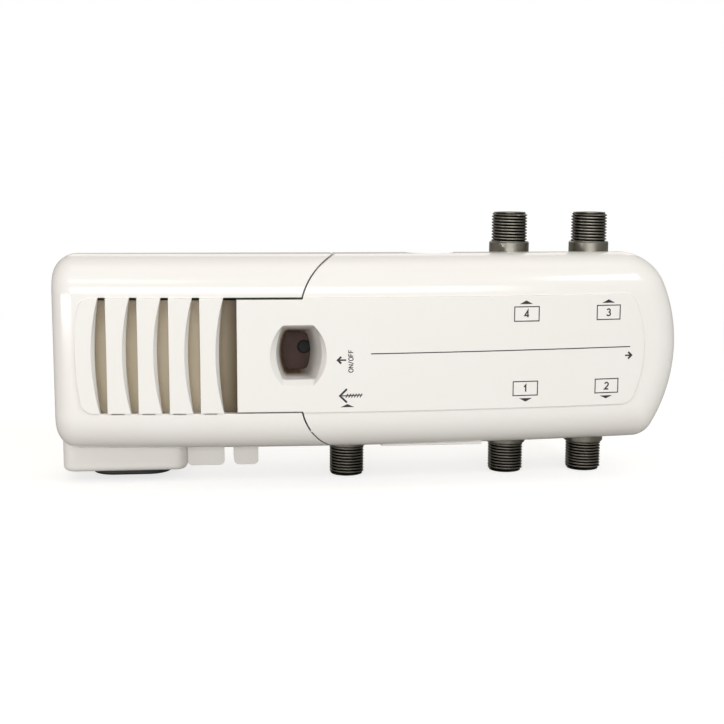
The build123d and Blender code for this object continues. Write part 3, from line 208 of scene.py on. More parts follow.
class Wiring:
    """Adds nodes to a tree and connects what goes into them."""

    def __init__(self, tree: Tree) -> None:
        """Takes the tree that the nodes go into."""
        self.tree = tree

    def feed(self, socket: Socket, source: Feed) -> None:
        """Links a source to an input, or sets the input's own value.

        Args:
            socket: the input.
            source: the output of a node or a plain value. A colour has three numbers.
        """
        if isinstance(source, Term):
            source = source.socket
        if isinstance(source, Socket):
            self.tree.links.new(source, socket)
        elif socket.type == "RGBA":
            socket.default_value = (*source, 1.0)
        else:
            socket.default_value = source

    def node(
        self, kind: str, feeds: dict[str | int, Feed] | None = None, **settings: object,
    ) -> bpy.types.Node:
        """Adds a node.

        Args:
            kind: the node's type name.
            feeds: what goes into each input.
            settings: the node's own properties.

        Returns:
            The new node.
        """
        node = self.tree.nodes.new(kind)
        for key, value in settings.items():
            setattr(node, key, value)
        for label, source in (feeds or {}).items():
            self.feed(node.inputs[label], source)
        return node

    def math(self, operation: str, *terms: Feed, **settings: object) -> Term:
        """Adds a Math node and returns its result."""
        node = self.node("ShaderNodeMath", dict(enumerate(terms)), operation=operation, **settings)
        return Term(self, node.outputs[0])

    def vector(self, x: Feed = 0.0, y: Feed = 0.0, z: Feed = 0.0) -> Socket:
        """Adds a Combine XYZ node and returns its vector."""
        return self.node("ShaderNodeCombineXYZ", {"X": x, "Y": y, "Z": z}).outputs[0]

    def axes(self, vector: Feed) -> list[Term]:
        """Adds a Separate XYZ node and returns its three numbers."""
        return [Term(self, socket) for socket in self.node("ShaderNodeSeparateXYZ", {0: vector}).outputs]

    def ranged(self, value: Feed, source: Span, target: Span = (0.0, 1.0), smooth: bool = False) -> Term:
        """Stretches a value from one range to another and holds it there.

        Args:
            value: the value.
            source: the ends of its own range.
            target: where these ends go.
            smooth: whether the way between them starts and ends gently.

        Returns:
            The stretched value.
        """
        feeds = {"Value": value}
        for label, span in (("From", source), ("To", target)):
            feeds[label + " Min"], feeds[label + " Max"] = span
        kind = "SMOOTHSTEP" if smooth else "LINEAR"
        return Term(self, self.node("ShaderNodeMapRange", feeds, interpolation_type=kind).outputs["Result"])

    def ramp(self, value: Feed, start: float, full: float) -> Term:
        """Rises gently from nought at the start to one at the full place, on whichever side that lies."""
        target = (float(start > full), float(full > start))
        return self.ranged(value, (min(start, full), max(start, full)), target, smooth=True)

    def product(self, first: Feed, second: Feed) -> Term:
        """Product of two shares, held between nought and one."""
        return self.math("MULTIPLY", first, second, use_clamp=True)

    def mixed(self, factor: Feed, first: Feed, second: Feed) -> Socket:
        """Mixes two colours.

        Args:
            factor: how much of the second colour shows.
            first: the colour where the factor is nought.
            second: the colour where it is one.

        Returns:
            The mixed colour.
        """
        node = self.node("ShaderNodeMix", {"Factor": factor}, data_type="RGBA")
        colours = [socket for socket in node.inputs if socket.type == "RGBA"]
        for socket, colour in zip(colours, (first, second)):
            self.feed(socket, colour)
        return next(socket for socket in node.outputs if socket.type == "RGBA")


class Surface(Wiring):
    """Node material of one finish.

    Noise lies mostly within its range, which is stretched to what a mask or the roughness needs. The cosines
    between the true and the rounded normal say what counts as flat and what as a full edge.
    """

    NOISE_ROUGHNESS = 0.55
    NOISE_RANGE: Span = (0.3, 0.7)
    BROAD_DETAIL = 3.0
    USUAL_DETAIL = 2.0
    OTHER_DETAILS = {Pattern.CAST: 7.0, Pattern.PLATED: 5.0, Pattern.INK: 1.0}
    BAND_DISTORTION = 0.6
    BEVEL_SAMPLES = 6
    EDGE_COSINES: Span = (0.995, 0.8)
    WEAR_AND_HIGHLIGHT_SHARES: Span = (0.4, 1.2)
    GROOVE_SHADE_DEPTH_SHARES: Span = (0.08, 0.5)
    GROOVE_SHADE_SHARES: Span = (1.15, 0.9)
    SHADE_CORE_SHARE = 0.9

    def __init__(self, finish: Finish) -> None:
        """Wires colour, roughness and relief of a finish into a Principled shader.

        Args:
            finish: colour and surface to make.
        """
        self.finish = finish
        self.material = bpy.data.materials.new("finish_" + finish.name)
        super().__init__(emptied(self.material))
        self.place = self.node("ShaderNodeTexCoord").outputs["Object"]
        mapping = self.node("ShaderNodeMapping", {"Vector": self.place, "Scale": finish.stretch})
        self.stretched_place = mapping.outputs["Vector"]
        self.broad = self._noise(finish.patch_size, self.BROAD_DETAIL)
        self.fine = self._fine()
        roughness = (finish.roughness - finish.spread, finish.roughness + finish.spread)
        shader = self.node("ShaderNodeBsdfPrincipled", {
            "Base Color": self._colour(),
            "Metallic": finish.metallic,
            "Roughness": self.ranged(self.broad, self.NOISE_RANGE, roughness),
            "Normal": self._relief(),
        })
        self.node("ShaderNodeOutputMaterial", {"Surface": shader.outputs["BSDF"]})

    @staticmethod
    def _scale(size: float) -> float:
        """Scale of a pattern whose features are about so many millimetres across."""
        return 1.0 / (size * MM)

    def _noise(self, size: float, detail: float) -> Socket:
        """Cloudy pattern over the stretched place.

        Args:
            size: how wide its patches are, in millimetres.
            detail: how many finer layers lie on them.

        Returns:
            The pattern's height.
        """
        return self.node("ShaderNodeTexNoise", {
            "Vector": self.stretched_place, "Scale": self._scale(size), "Detail": detail,
            "Roughness": self.NOISE_ROUGHNESS,
        }).outputs["Fac"]

    def _fine(self) -> Feed:
        """Height of the fine structure that the finish's pattern names.

        Returns:
            The height.
        """
        size, pattern = self.finish.grain_size, self.finish.pattern
        if pattern is Pattern.SINTERED:
            cells = {"Vector": self.stretched_place, "Scale": self._scale(size)}
            return self.node("ShaderNodeTexVoronoi", cells).outputs["Distance"]
        if pattern is Pattern.WOUND:
            return self._bands("Z")
        if pattern is Pattern.WEAVE:
            return self.math("MULTIPLY", self._bands("X"), self._bands("Z"))
        return self._noise(size, self.OTHER_DETAILS.get(pattern, self.USUAL_DETAIL))

    def _bands(self, direction: str) -> Socket:
        """Regular bands, a little uneven.

        Args:
            direction: the axis that they follow one another along.

        Returns:
            The bands' height.
        """
        return self.node("ShaderNodeTexWave", {
            "Vector": self.stretched_place, "Scale": self._scale(self.finish.grain_size),
            "Distortion": self.BAND_DISTORTION,
        }, bands_direction=direction).outputs["Fac"]

    def _colour(self) -> Socket:
        """Base colour that drifts in patches, with edge wear and highlight, painted groove shade and painted
        shade over it.

        Returns:
            The colour.
        """
        finish = self.finish
        drift = self.ranged(self.broad, self.NOISE_RANGE, (0.0, finish.tint_share))
        colour = self.mixed(drift, finish.colour, finish.tint)
        if finish.wear_and_highlight is not None:
            colour = self.mixed(self._edge_mask(), colour, finish.wear_and_highlight)
        if finish.groove_shade is not None:
            colour = self.mixed(self._groove_mask(), colour, finish.groove_shade)
        if finish.painted_shade is not None:
            colour = self.mixed(self._painted_shade_mask(finish.painted_shade), colour, finish.painted_shade.colour)
        return colour

    def _relief(self) -> Socket:
        """Normal with the fine structure on it, over rounded edges where the finish has them.

        Returns:
            The normal.
        """
        feeds = {"Strength": 1.0, "Distance": self.finish.relief * MM, "Height": self.fine}
        if self.finish.edge_round > 0:
            feeds["Normal"] = self._bevel()
        return self.node("ShaderNodeBump", feeds).outputs["Normal"]

    def _bevel(self) -> Socket:
        """Normal that rounds edges, as a mould or a tumbler leaves them."""
        radius = {"Radius": self.finish.edge_round * MM}
        return self.node("ShaderNodeBevel", radius, samples=self.BEVEL_SAMPLES).outputs["Normal"]

    def _edge_mask(self) -> Term:
        """How much edge wear and painted highlight a point takes: nought on flats, rising where the rounded
        normal leaves the true one.

        Returns:
            The share of the wear and highlight colour.
        """
        normals = {0: self._bevel(), 1: self.node("ShaderNodeNewGeometry").outputs["Normal"]}
        dot = self.node("ShaderNodeVectorMath", normals, operation="DOT_PRODUCT").outputs["Value"]
        turn = self.ranged(dot, self.EDGE_COSINES, (0.0, self.finish.wear_and_highlight_share))
        return self.product(turn, self.ranged(self.fine, self.NOISE_RANGE, self.WEAR_AND_HIGHLIGHT_SHARES))

    def _groove_mask(self) -> Term:
        """How deep the painted groove shade is: nought on crests, full before the groove's root, in patches.

        Returns:
            The share of painted groove shade.
        """
        groove = self.node("ShaderNodeAttribute", attribute_name=GROOVE_ATTRIBUTE).outputs["Fac"]
        depth = self.ramp(groove, *self.GROOVE_SHADE_DEPTH_SHARES)
        return self.product(depth, self.ranged(self.broad, self.NOISE_RANGE, self.GROOVE_SHADE_SHARES))

    def _painted_shade_mask(self, painted_shade: PaintedShade) -> Term:
        """One where the painted shade is full, nought outside it.

        Args:
            painted_shade: where it lies.

        Returns:
            The share of the painted shade's colour.
        """
        x, y, _ = self.axes(self.place)
        center = self.vector(painted_shade.center[0] * MM, y, painted_shade.center[1] * MM)
        ends = {0: self.place, 1: center}
        distance = self.node("ShaderNodeVectorMath", ends, operation="DISTANCE").outputs["Value"]
        near = self.ramp(distance, painted_shade.radius * MM, self.SHADE_CORE_SHARE * painted_shade.radius * MM)
        across = self.ramp(x, *(edge * MM for edge in painted_shade.across))
        inward = self.ramp(y, *(edge * MM for edge in painted_shade.inward))
        return self.product(near, self.product(across, inward))


class MaterialBench:
    """Keeps one material for every piece that shares a finish."""

    def __init__(self) -> None:
        """Starts with no materials made."""
        self._made: dict[str, bpy.types.Material] = {}

    def material(self, finish: Finish) -> bpy.types.Material:
        """The material of a finish, made at its first use.

        Args:
            finish: colour and surface to make.

        Returns:
            The node material.
        """
        if finish.name not in self._made:
            self._made[finish.name] = Surface(finish).material
        return self._made[finish.name]


WHITE_SHELL: Colour = (0.87, 0.845, 0.815)
WORN_METAL: Colour = (0.86, 0.84, 0.8)

FINISHES = {finish.name: finish for finish in (
    Finish(
        "shell_plastic", WHITE_SHELL, (0.86, 0.83, 0.785), Pattern.GRAIN, roughness=0.17, spread=0.02,
        patch_size=30.0, grain_size=0.45, relief=0.0022, edge_round=0.35,
        # On the white shell the lighter edge colour is a painted highlight along the edges.
        wear_and_highlight=(0.9, 0.88, 0.85), wear_and_highlight_share=0.35,
        # Painted shade: darkens the walls of the switch's well to a warm brown.
        painted_shade=PaintedShade(
            colour=(0.13, 0.075, 0.03), center=(-21.0, -0.4), radius=12.0, across=(-14.5, -20.5),
            inward=(-34.2, -27.5),
        ),
    ),
    Finish(
        "tray_plastic", (0.81, 0.785, 0.755), (0.78, 0.75, 0.71), Pattern.GRAIN, roughness=0.34, spread=0.05,
        patch_size=25.0, grain_size=0.35, relief=0.005, edge_round=0.3,
        wear_and_highlight=(0.86, 0.84, 0.81), wear_and_highlight_share=0.3,
    ),
    # The baffle's tan colour is painted warm shade on a pale part, and its painted shade darkens it further
    # behind the last vent slot.
    Finish(
        "baffle_plastic", (0.66, 0.57, 0.42), (0.6, 0.51, 0.36), Pattern.GRAIN, roughness=0.5,
        patch_size=9.0, grain_size=0.3, relief=0.008,
        painted_shade=PaintedShade(
            colour=(0.14, 0.095, 0.045), center=(-40.0, 0.0), radius=60.0, across=(-45.0, -35.0),
            inward=(-50.0, -45.0),
        ),
    ),
    Finish(
        "inlet_plastic", (0.012, 0.012, 0.013), (0.022, 0.021, 0.02), Pattern.GRAIN, roughness=0.42,
        grain_size=0.25, relief=0.008, edge_round=0.2, wear_and_highlight=(0.06, 0.06, 0.06), wear_and_highlight_share=0.4,
    ),
    Finish(
        "pin_metal", (0.78, 0.74, 0.67), (0.66, 0.6, 0.5), Pattern.PLATED, roughness=0.28, metallic=1.0,
        patch_size=3.0, grain_size=0.2, relief=0.004,
    ),
    Finish(
        "board_laminate", (0.035, 0.15, 0.055), (0.02, 0.1, 0.035), Pattern.WEAVE, roughness=0.38,
        patch_size=5.0, grain_size=0.8, relief=0.006,
    ),
    Finish(
        "ferrite", (0.045, 0.045, 0.048), (0.07, 0.068, 0.066), Pattern.SINTERED, roughness=0.62,
        patch_size=4.0, grain_size=0.16, relief=0.01, edge_round=0.15,
        wear_and_highlight=(0.16, 0.155, 0.15), wear_and_highlight_share=0.5,
    ),
    Finish(
        "winding_tape", (0.72, 0.5, 0.06), (0.6, 0.38, 0.03), Pattern.WOUND, roughness=0.3,
        patch_size=5.0, grain_size=4.0, relief=0.03,
    ),
    Finish(
        "capacitor_sleeve", (0.012, 0.02, 0.05), (0.02, 0.03, 0.07), Pattern.GRAIN, roughness=0.26,
        patch_size=4.0, grain_size=0.8, relief=0.01,
    ),
    Finish(
        "suppressor_resin", (0.62, 0.45, 0.05), (0.55, 0.38, 0.04), Pattern.GRAIN, roughness=0.36,
        patch_size=6.0, grain_size=0.5, relief=0.01, edge_round=0.3, wear_and_highlight=(0.7, 0.55, 0.15), wear_and_highlight_share=0.3,
    ),
    Finish(
        "fuse_case", (0.03, 0.03, 0.032), (0.05, 0.05, 0.05), Pattern.GRAIN, roughness=0.4,
        grain_size=0.3, relief=0.01,
    ),
    Finish(
        "chip_resin", (0.02, 0.02, 0.021), (0.035, 0.034, 0.033), Pattern.SINTERED, roughness=0.55,
        patch_size=2.0, grain_size=0.12, relief=0.005,
    ),
    Finish(
        "sink_aluminium", (0.8, 0.8, 0.79), (0.7, 0.7, 0.69), Pattern.BRUSHED, roughness=0.36, metallic=1.0,
        patch_size=5.0, grain_size=0.2, relief=0.004, stretch=(1.0, 0.08, 1.0),
    ),
    Finish(
        "switch_plastic", (0.055, 0.02, 0.012), (0.042, 0.016, 0.01), Pattern.GRAIN, roughness=0.6,
        patch_size=5.0, grain_size=0.3, relief=0.008,
    ),
    Finish(
        "button_plastic", (0.006, 0.007, 0.007), (0.009, 0.01, 0.01), Pattern.GRAIN, roughness=0.75,
        patch_size=2.0, grain_size=0.2, relief=0.006,
    ),
    Finish(
        "cast_alloy", (0.52, 0.51, 0.49), (0.43, 0.42, 0.4), Pattern.CAST, roughness=0.46, metallic=1.0,
        patch_size=8.0, grain_size=0.7, relief=0.02, edge_round=0.2, wear_and_highlight=WORN_METAL, wear_and_highlight_share=0.4,
    ),
    Finish(
        "shield_sheet", (0.68, 0.68, 0.66), (0.58, 0.58, 0.56), Pattern.BRUSHED, roughness=0.32, metallic=1.0,
        patch_size=14.0, grain_size=0.25, relief=0.004, stretch=(0.06, 1.0, 1.0),
    ),
    Finish(
        "coil_copper", (0.66, 0.27, 0.1), (0.5, 0.18, 0.06), Pattern.PLATED, roughness=0.24, metallic=1.0,
        patch_size=2.0, grain_size=0.3, relief=0.004,
    ),
    Finish(
        "trimmer_plastic", (0.02, 0.1, 0.34), (0.015, 0.08, 0.27), Pattern.GRAIN, roughness=0.34,
        patch_size=3.0, grain_size=0.3, relief=0.006,
    ),
    Finish(
        "knob_plastic", (0.8, 0.78, 0.74), (0.74, 0.71, 0.66), Pattern.GRAIN, roughness=0.35,
        patch_size=3.0, grain_size=0.25, relief=0.006, edge_round=0.15,
        wear_and_highlight=(0.86, 0.85, 0.82), wear_and_highlight_share=0.3,
    ),
    Finish(
        "feed_insulation", (0.55, 0.03, 0.02), (0.45, 0.02, 0.015), Pattern.GRAIN, roughness=0.38,
        patch_size=3.0, grain_size=0.3, relief=0.006,
    ),
    # The port's groove colour is painted shade, near black in the thread's grooves.
    Finish(
        "port_metal", (0.25, 0.238, 0.205), (0.175, 0.165, 0.14), Pattern.PLATED, roughness=0.36, spread=0.08,
        patch_size=3.5, grain_size=0.6, relief=0.012, metallic=1.0, edge_round=0.12, wear_and_highlight=(0.5, 0.48, 0.44),
        wear_and_highlight_share=0.3, groove_shade=(0.012, 0.01, 0.007),
    ),
    Finish(
        "port_insulation", (0.78, 0.77, 0.74), (0.7, 0.69, 0.65), Pattern.GRAIN, roughness=0.42,
        patch_size=3.0, grain_size=0.3, relief=0.006,
    ),
    Finish(
        "contact_metal", (0.83, 0.62, 0.3), (0.74, 0.52, 0.22), Pattern.PLATED, roughness=0.22, metallic=1.0,
        patch_size=2.0, grain_size=0.2, relief=0.003,
    ),
    Finish(
        "screw_steel", (0.56, 0.55, 0.53), (0.45, 0.44, 0.42), Pattern.PLATED, roughness=0.3, metallic=1.0,
        patch_size=2.5, grain_size=0.3, relief=0.006, edge_round=0.1, wear_and_highlight=WORN_METAL, wear_and_highlight_share=0.4,
    ),
)}
PRINT_INK = Finish(
    "print_ink", (0.02, 0.02, 0.021), (0.03, 0.03, 0.03), Pattern.INK, roughness=0.55,
    patch_size=1.5, grain_size=0.2, relief=0.002,
)
CHIP_CERAMIC = Finish(
    "chip_ceramic", (0.46, 0.33, 0.22), (0.36, 0.25, 0.16), Pattern.SINTERED, roughness=0.5,
    patch_size=1.0, grain_size=0.1, relief=0.004,
)
SOLDER = Finish(
    "solder", (0.7, 0.7, 0.68), (0.6, 0.6, 0.58), Pattern.PLATED, roughness=0.25, metallic=1.0,
    patch_size=1.0, grain_size=0.3, relief=0.01,
)


def new_object(name: str, mesh: bpy.types.Mesh) -> bpy.types.Object:
    """Links a mesh into the scene as an object at the origin.

    Args:
        name: name of the object.
        mesh: its mesh.

    Returns:
        The object.
    """
    thing = bpy.data.objects.new(name, mesh)
    bpy.context.scene.collection.objects.link(thing)
    return thing


def box_mm(node: str) -> tuple[Vector, Vector]:
    """Lowest and highest corner of a CAD node in millimetres."""
    low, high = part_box(node)
    return low / MM, high / MM


def numbered(stem: str, count: int) -> tuple[str, ...]:
    """Names of CAD nodes that are counted from one."""
    return tuple(f"{stem}_{number}" for number in range(1, count + 1))


def labelled(sizes: object, *names: str) -> dict[str, float | int]:
    """Sizes of a dataclass by the labels that the inputs of a tree have for them."""
    return {name.replace("_", " ").title(): getattr(sizes, name) for name in names}


class MeshShop:
    """Makes meshes in local millimetres."""

    @staticmethod
    def shaded(mesh: bpy.types.Mesh) -> bpy.types.Mesh:
        """Shades a mesh smooth between its sharp edges.

        Args:
            mesh: the mesh.

        Returns:
            The same mesh.
        """
        mesh.shade_smooth()
        mesh.set_sharp_from_angle(angle=SHARP_ANGLE)
        return mesh

    @classmethod
    def closed(cls, builder: bmesh.types.BMesh, name: str) -> bpy.types.Mesh:
        """Merges, turns the faces outwards and shades a shape.

        Args:
            builder: the shape, freed here.
            name: name of the mesh.

        Returns:
            The mesh.
        """
        bmesh.ops.remove_doubles(builder, verts=builder.verts, dist=MERGE_REACH)
        bmesh.ops.recalc_face_normals(builder, faces=builder.faces)
        mesh = bpy.data.meshes.new(name)
        builder.to_mesh(mesh)
        builder.free()
        return cls.shaded(mesh)

    @classmethod
    def lathe(cls, profile: Sequence[Point], name: str, steps: int) -> bpy.types.Mesh:
        """Turns a closed loop of radius and height about the Z axis.

        Args:
            profile: the loop's corners.
            name: name of the mesh.
            steps: how many steps make the full turn.

        Returns:
            The turned mesh.
        """
        builder = bmesh.new()
        rings = []
        for step in range(steps):
            angle = FULL_TURN * step / steps
            places = [(r * math.cos(angle), r * math.sin(angle), z) for r, z in profile]
            rings.append([builder.verts.new(place) for place in places])
        for step, ring in enumerate(rings):
            following = rings[(step + 1) % steps]
            for index in range(len(profile)):
                after = (index + 1) % len(profile)
                builder.faces.new((ring[index], following[index], following[after], ring[after]))
        return cls.closed(builder, name)

    @classmethod
    def slab(
        cls, points: Sequence[Point], faces: Sequence[Sequence[int]], low: float, high: float, name: str,
    ) -> bpy.types.Mesh:
        """Gives a flat drawing a thickness.

        Args:
            points: the drawing's corners.
            faces: its faces, as indices of the corners.
            low: height of the underside.
            high: height of the upper side.
            name: name of the mesh.

        Returns:
            The closed slab.
        """
        builder = bmesh.new()
        bottom = [builder.verts.new((x, y, low)) for x, y in points]
        top = [builder.verts.new((x, y, high)) for x, y in points]
        rims = []
        for face in faces:
            builder.faces.new([top[index] for index in face])
            builder.faces.new([bottom[index] for index in reversed(face)])
            rims += zip(face, (*face[1:], face[0]))
        for start, end in rims:
            if (end, start) not in rims:
                builder.faces.new((bottom[start], bottom[end], top[end], top[start]))
        return cls.closed(builder, name)

    @staticmethod
    def merged(meshes: Iterable[bpy.types.Mesh], name: str) -> bpy.types.Mesh:
        """Puts several meshes into one.

        Args:
            meshes: the meshes, removed afterwards.
            name: name of the new mesh.

        Returns:
            The one mesh.
        """
        builder = bmesh.new()
        for mesh in meshes:
            builder.from_mesh(mesh)
            bpy.data.meshes.remove(mesh)
        whole = bpy.data.meshes.new(name)
        builder.to_mesh(whole)
        builder.free()
        return whole

    @staticmethod
    def seeds(points: Sequence[Sequence[float]], name: str) -> bpy.types.Mesh:
        """Loose points, from which a tree starts that puts something on each of them.

        Args:
            points: their places, or none where the tree draws all by itself.
            name: name of the mesh.

        Returns:
            The mesh.
        """
        mesh = bpy.data.meshes.new(name)
        mesh.from_pydata([tuple(point) for point in points], [], [])
        return mesh


class NodeRecipe(Wiring):
    """A Geometry Nodes tree with named inputs, run on a seed mesh and kept as a plain mesh."""

    def __init__(self, name: str, inputs: dict[str, float | int]) -> None:
        """Opens the tree.

        Args:
            name: name of the tree.
            inputs: the named inputs with their usual values. A whole number makes a whole-number input.
        """
        super().__init__(bpy.data.node_groups.new(name, "GeometryNodeTree"))
        interface = self.tree.interface
        interface.new_socket("Geometry", in_out="INPUT", socket_type="NodeSocketGeometry")
        interface.new_socket("Geometry", in_out="OUTPUT", socket_type="NodeSocketGeometry")
        self._identifiers: dict[str, str] = {}
        for label, value in inputs.items():
            kind = "NodeSocketInt" if isinstance(value, int) else "NodeSocketFloat"
            socket = interface.new_socket(label, in_out="INPUT", socket_type=kind)
            socket.default_value = value
            self._identifiers[label] = socket.identifier
        self._entry = self.node("NodeGroupInput")
        self._exit = self.node("NodeGroupOutput")

    def given(self, *labels: str) -> list[Term]:
        """The values of named inputs."""
        return [Term(self, self._entry.outputs[label]) for label in labels]

    def place(self) -> list[Term]:
        """Adds a Position node and returns a point's x, y and z."""
        return self.axes(self.node("GeometryNodeInputPosition").outputs[0])

    def squared_radius(self) -> Term:
        """Square of a point's distance from the Z axis."""
        x, y, _ = self.place()
        return x * x + y * y

    def random(self, kind: str, feeds: dict[str, Feed]) -> Term:
        """Adds a Random Value node.

        Args:
            kind: what it gives, such as FLOAT or BOOLEAN.
            feeds: what goes into its inputs, the seed among them.

        Returns:
            The random value.
        """
        node = self.node("FunctionNodeRandomValue", feeds, data_type=kind)
        return Term(self, next(socket for socket in node.outputs if socket.enabled))

    def box(self, x: Feed, y: Feed, z: Feed) -> Socket:
        """Adds a Cube node with three sizes and returns its mesh."""
        return self.node("GeometryNodeMeshCube", {"Size": self.vector(x, y, z)}).outputs["Mesh"]

    def joined(self, *parts: Feed) -> Socket:
        """Adds a Join Geometry node over several parts.

        Args:
            parts: the parts.

        Returns:
            All of them together.
        """
        join = self.node("GeometryNodeJoinGeometry")
        for part in parts:
            self.feed(join.inputs["Geometry"], part)
        return join.outputs["Geometry"]

    def moved(self, geometry: Feed, shift: Feed, turn: Feed = (0.0, 0.0, 0.0)) -> Socket:
        """Adds a Transform Geometry node and returns the moved geometry."""
        feeds = {"Geometry": geometry, "Translation": shift, "Rotation": turn}
        return self.node("GeometryNodeTransform", feeds).outputs["Geometry"]

    def raised(self, geometry: Feed, height: Feed) -> Socket:
        """Moves geometry along the Z axis."""
        return self.moved(geometry, self.vector(z=height))

    def scattered(self, points: Feed, part: Feed, turn: Feed, chosen: Feed = True) -> Socket:
        """Adds an Instance on Points node.

        Args:
            points: where the parts go.
            part: what goes there.
            turn: how far each is turned about the Z axis, in radians.
            chosen: which points get a part.

        Returns:
            The placed parts.
        """
        feeds = {"Points": points, "Instance": part, "Selection": chosen, "Rotation": self.vector(z=turn)}
        return self.node("GeometryNodeInstanceOnPoints", feeds).outputs["Instances"]

    def coloured(self, geometry: Feed, material: bpy.types.Material) -> Socket:
        """Adds a Set Material node and returns the dressed geometry."""
        feeds = {"Geometry": geometry, "Material": material}
        return self.node("GeometryNodeSetMaterial", feeds).outputs["Geometry"]

    def helix(self, turns: Feed, height: Feed, radius: Feed, steps: int) -> Socket:
        """Adds a spiral curve with normals that point away from its axis.

        Args:
            turns: how often it winds round.
            height: how high it rises.
            radius: its radius.
            steps: how many steps make one turn.

        Returns:
            The curve.
        """
        spiral = self.node("GeometryNodeCurveSpiral", {
            "Resolution": steps, "Rotations": turns, "Start Radius": radius, "End Radius": radius,
            "Height": height,
        }).outputs["Curve"]
        return self.node("GeometryNodeSetCurveNormal", {"Curve": spiral}, mode="Z_UP").outputs["Curve"]

    def swept(self, path: Feed, section: Feed) -> Socket:
        """Sweeps a section along a curve, with closed ends."""
        feeds = {"Curve": path, "Profile Curve": section, "Fill Caps": True}
        return self.node("GeometryNodeCurveToMesh", feeds).outputs["Mesh"]

    def wire(self, path: Feed, corners: int, radius: Feed) -> Socket:
        """Sweeps a round or many-cornered section along a curve.

        Args:
            path: the curve.
            corners: how many corners the section has.
            radius: their distance from the curve.

        Returns:
            The wire.
        """
        feeds = {"Resolution": corners, "Radius": radius}
        return self.swept(path, self.node("GeometryNodeCurvePrimitiveCircle", feeds).outputs["Curve"])

    def ridge(self, path: Feed, foot: Feed, top: Feed, height: Feed) -> Socket:
        """Sweeps a ridge with a flat top along a curve, the top towards the curve's normals.

        Args:
            path: the curve, at half the ridge's height.
            foot: the width of the ridge's foot.
            top: the width of its top.
            height: its height.

        Returns:
            The ridge.
        """
        feeds = {"Height": height, "Bottom Width": foot, "Top Width": top, "Offset": 0.0}
        section = self.node("GeometryNodeCurvePrimitiveQuadrilateral", feeds, mode="TRAPEZOID")
        upright = self.moved(section.outputs["Curve"], (0.0, 0.0, 0.0), (0.0, 0.0, QUARTER_TURN))
        return self.swept(path, upright)

    def close(self, geometry: Feed, material: bpy.types.Material | None = None) -> None:
        """Ends the tree in Realize Instances and Set Material.

        Args:
            geometry: what the tree has made.
            material: its finish, or None where its parts are dressed already.
        """
        real = self.node("GeometryNodeRealizeInstances", {"Geometry": geometry}).outputs["Geometry"]
        if material is not None:
            real = self.coloured(real, material)
        self.feed(self._exit.inputs["Geometry"], real)

    def grow(
        self, name: str, seed: bpy.types.Mesh, place: Matrix, values: dict[str, float | int] | None = None,
    ) -> bpy.types.Object:
        """Runs the tree on a seed mesh.

        Args:
            name: name of the piece.
            seed: the mesh that the tree starts from.
            place: matrix that puts the result in the frame.
            values: inputs that differ from their usual values.

        Returns:
            The piece, a plain mesh without modifiers.
        """
        piece = new_object(name, seed)
        modifier = piece.modifiers.new("grow", "NODES")
        modifier.node_group = self.tree
        for label, value in (values or {}).items():
            modifier[self._identifiers[label]] = value
        evaluated = piece.evaluated_get(bpy.context.evaluated_depsgraph_get())
        mesh = bpy.data.meshes.new_from_object(evaluated)
        piece.modifiers.remove(modifier)
        mesh.name = name
        mesh.transform(place)
        piece.data = MeshShop.shaded(mesh)
        return piece


@dataclass
class SubAssembly:
    """What the sub-assemblies share: the bench with the materials, and the list of pieces made."""

    bench: MaterialBench
    pieces: list[bpy.types.Object] = field(default_factory=list, init=False)

    def enter(
        self, piece: bpy.types.Object, body: str, slot: str, stands_for: Sequence[str] = (),
    ) -> None:
        """Attaches a finished piece to its body, hides the CAD nodes that it stands for and adds it to the
        list of pieces.

        Args:
            piece: the piece, in place.
            body: the body that it moves with.
            slot: not used.
            stands_for: the CAD nodes that it replaces.
        """
        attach(piece, body)
        if stands_for:
            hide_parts(*stands_for)
        self.pieces.append(piece)

    def material(self, slot: str) -> bpy.types.Material:
        """The material of a record slot."""
        return self.bench.material(FINISHES[slot])


@dataclass
class CadDress(SubAssembly):
    """Gives every CAD node that stays its finish."""

    def build(self, nodes: dict[str, bpy.types.Object]) -> None:
        """Dresses the nodes by the material slot that each came with.

        Args:
            nodes: the CAD nodes by name.
        """
        for node in nodes.values():
            for slot in node.material_slots:
                slot.material = self.material(slot.material.name.split(".")[0])


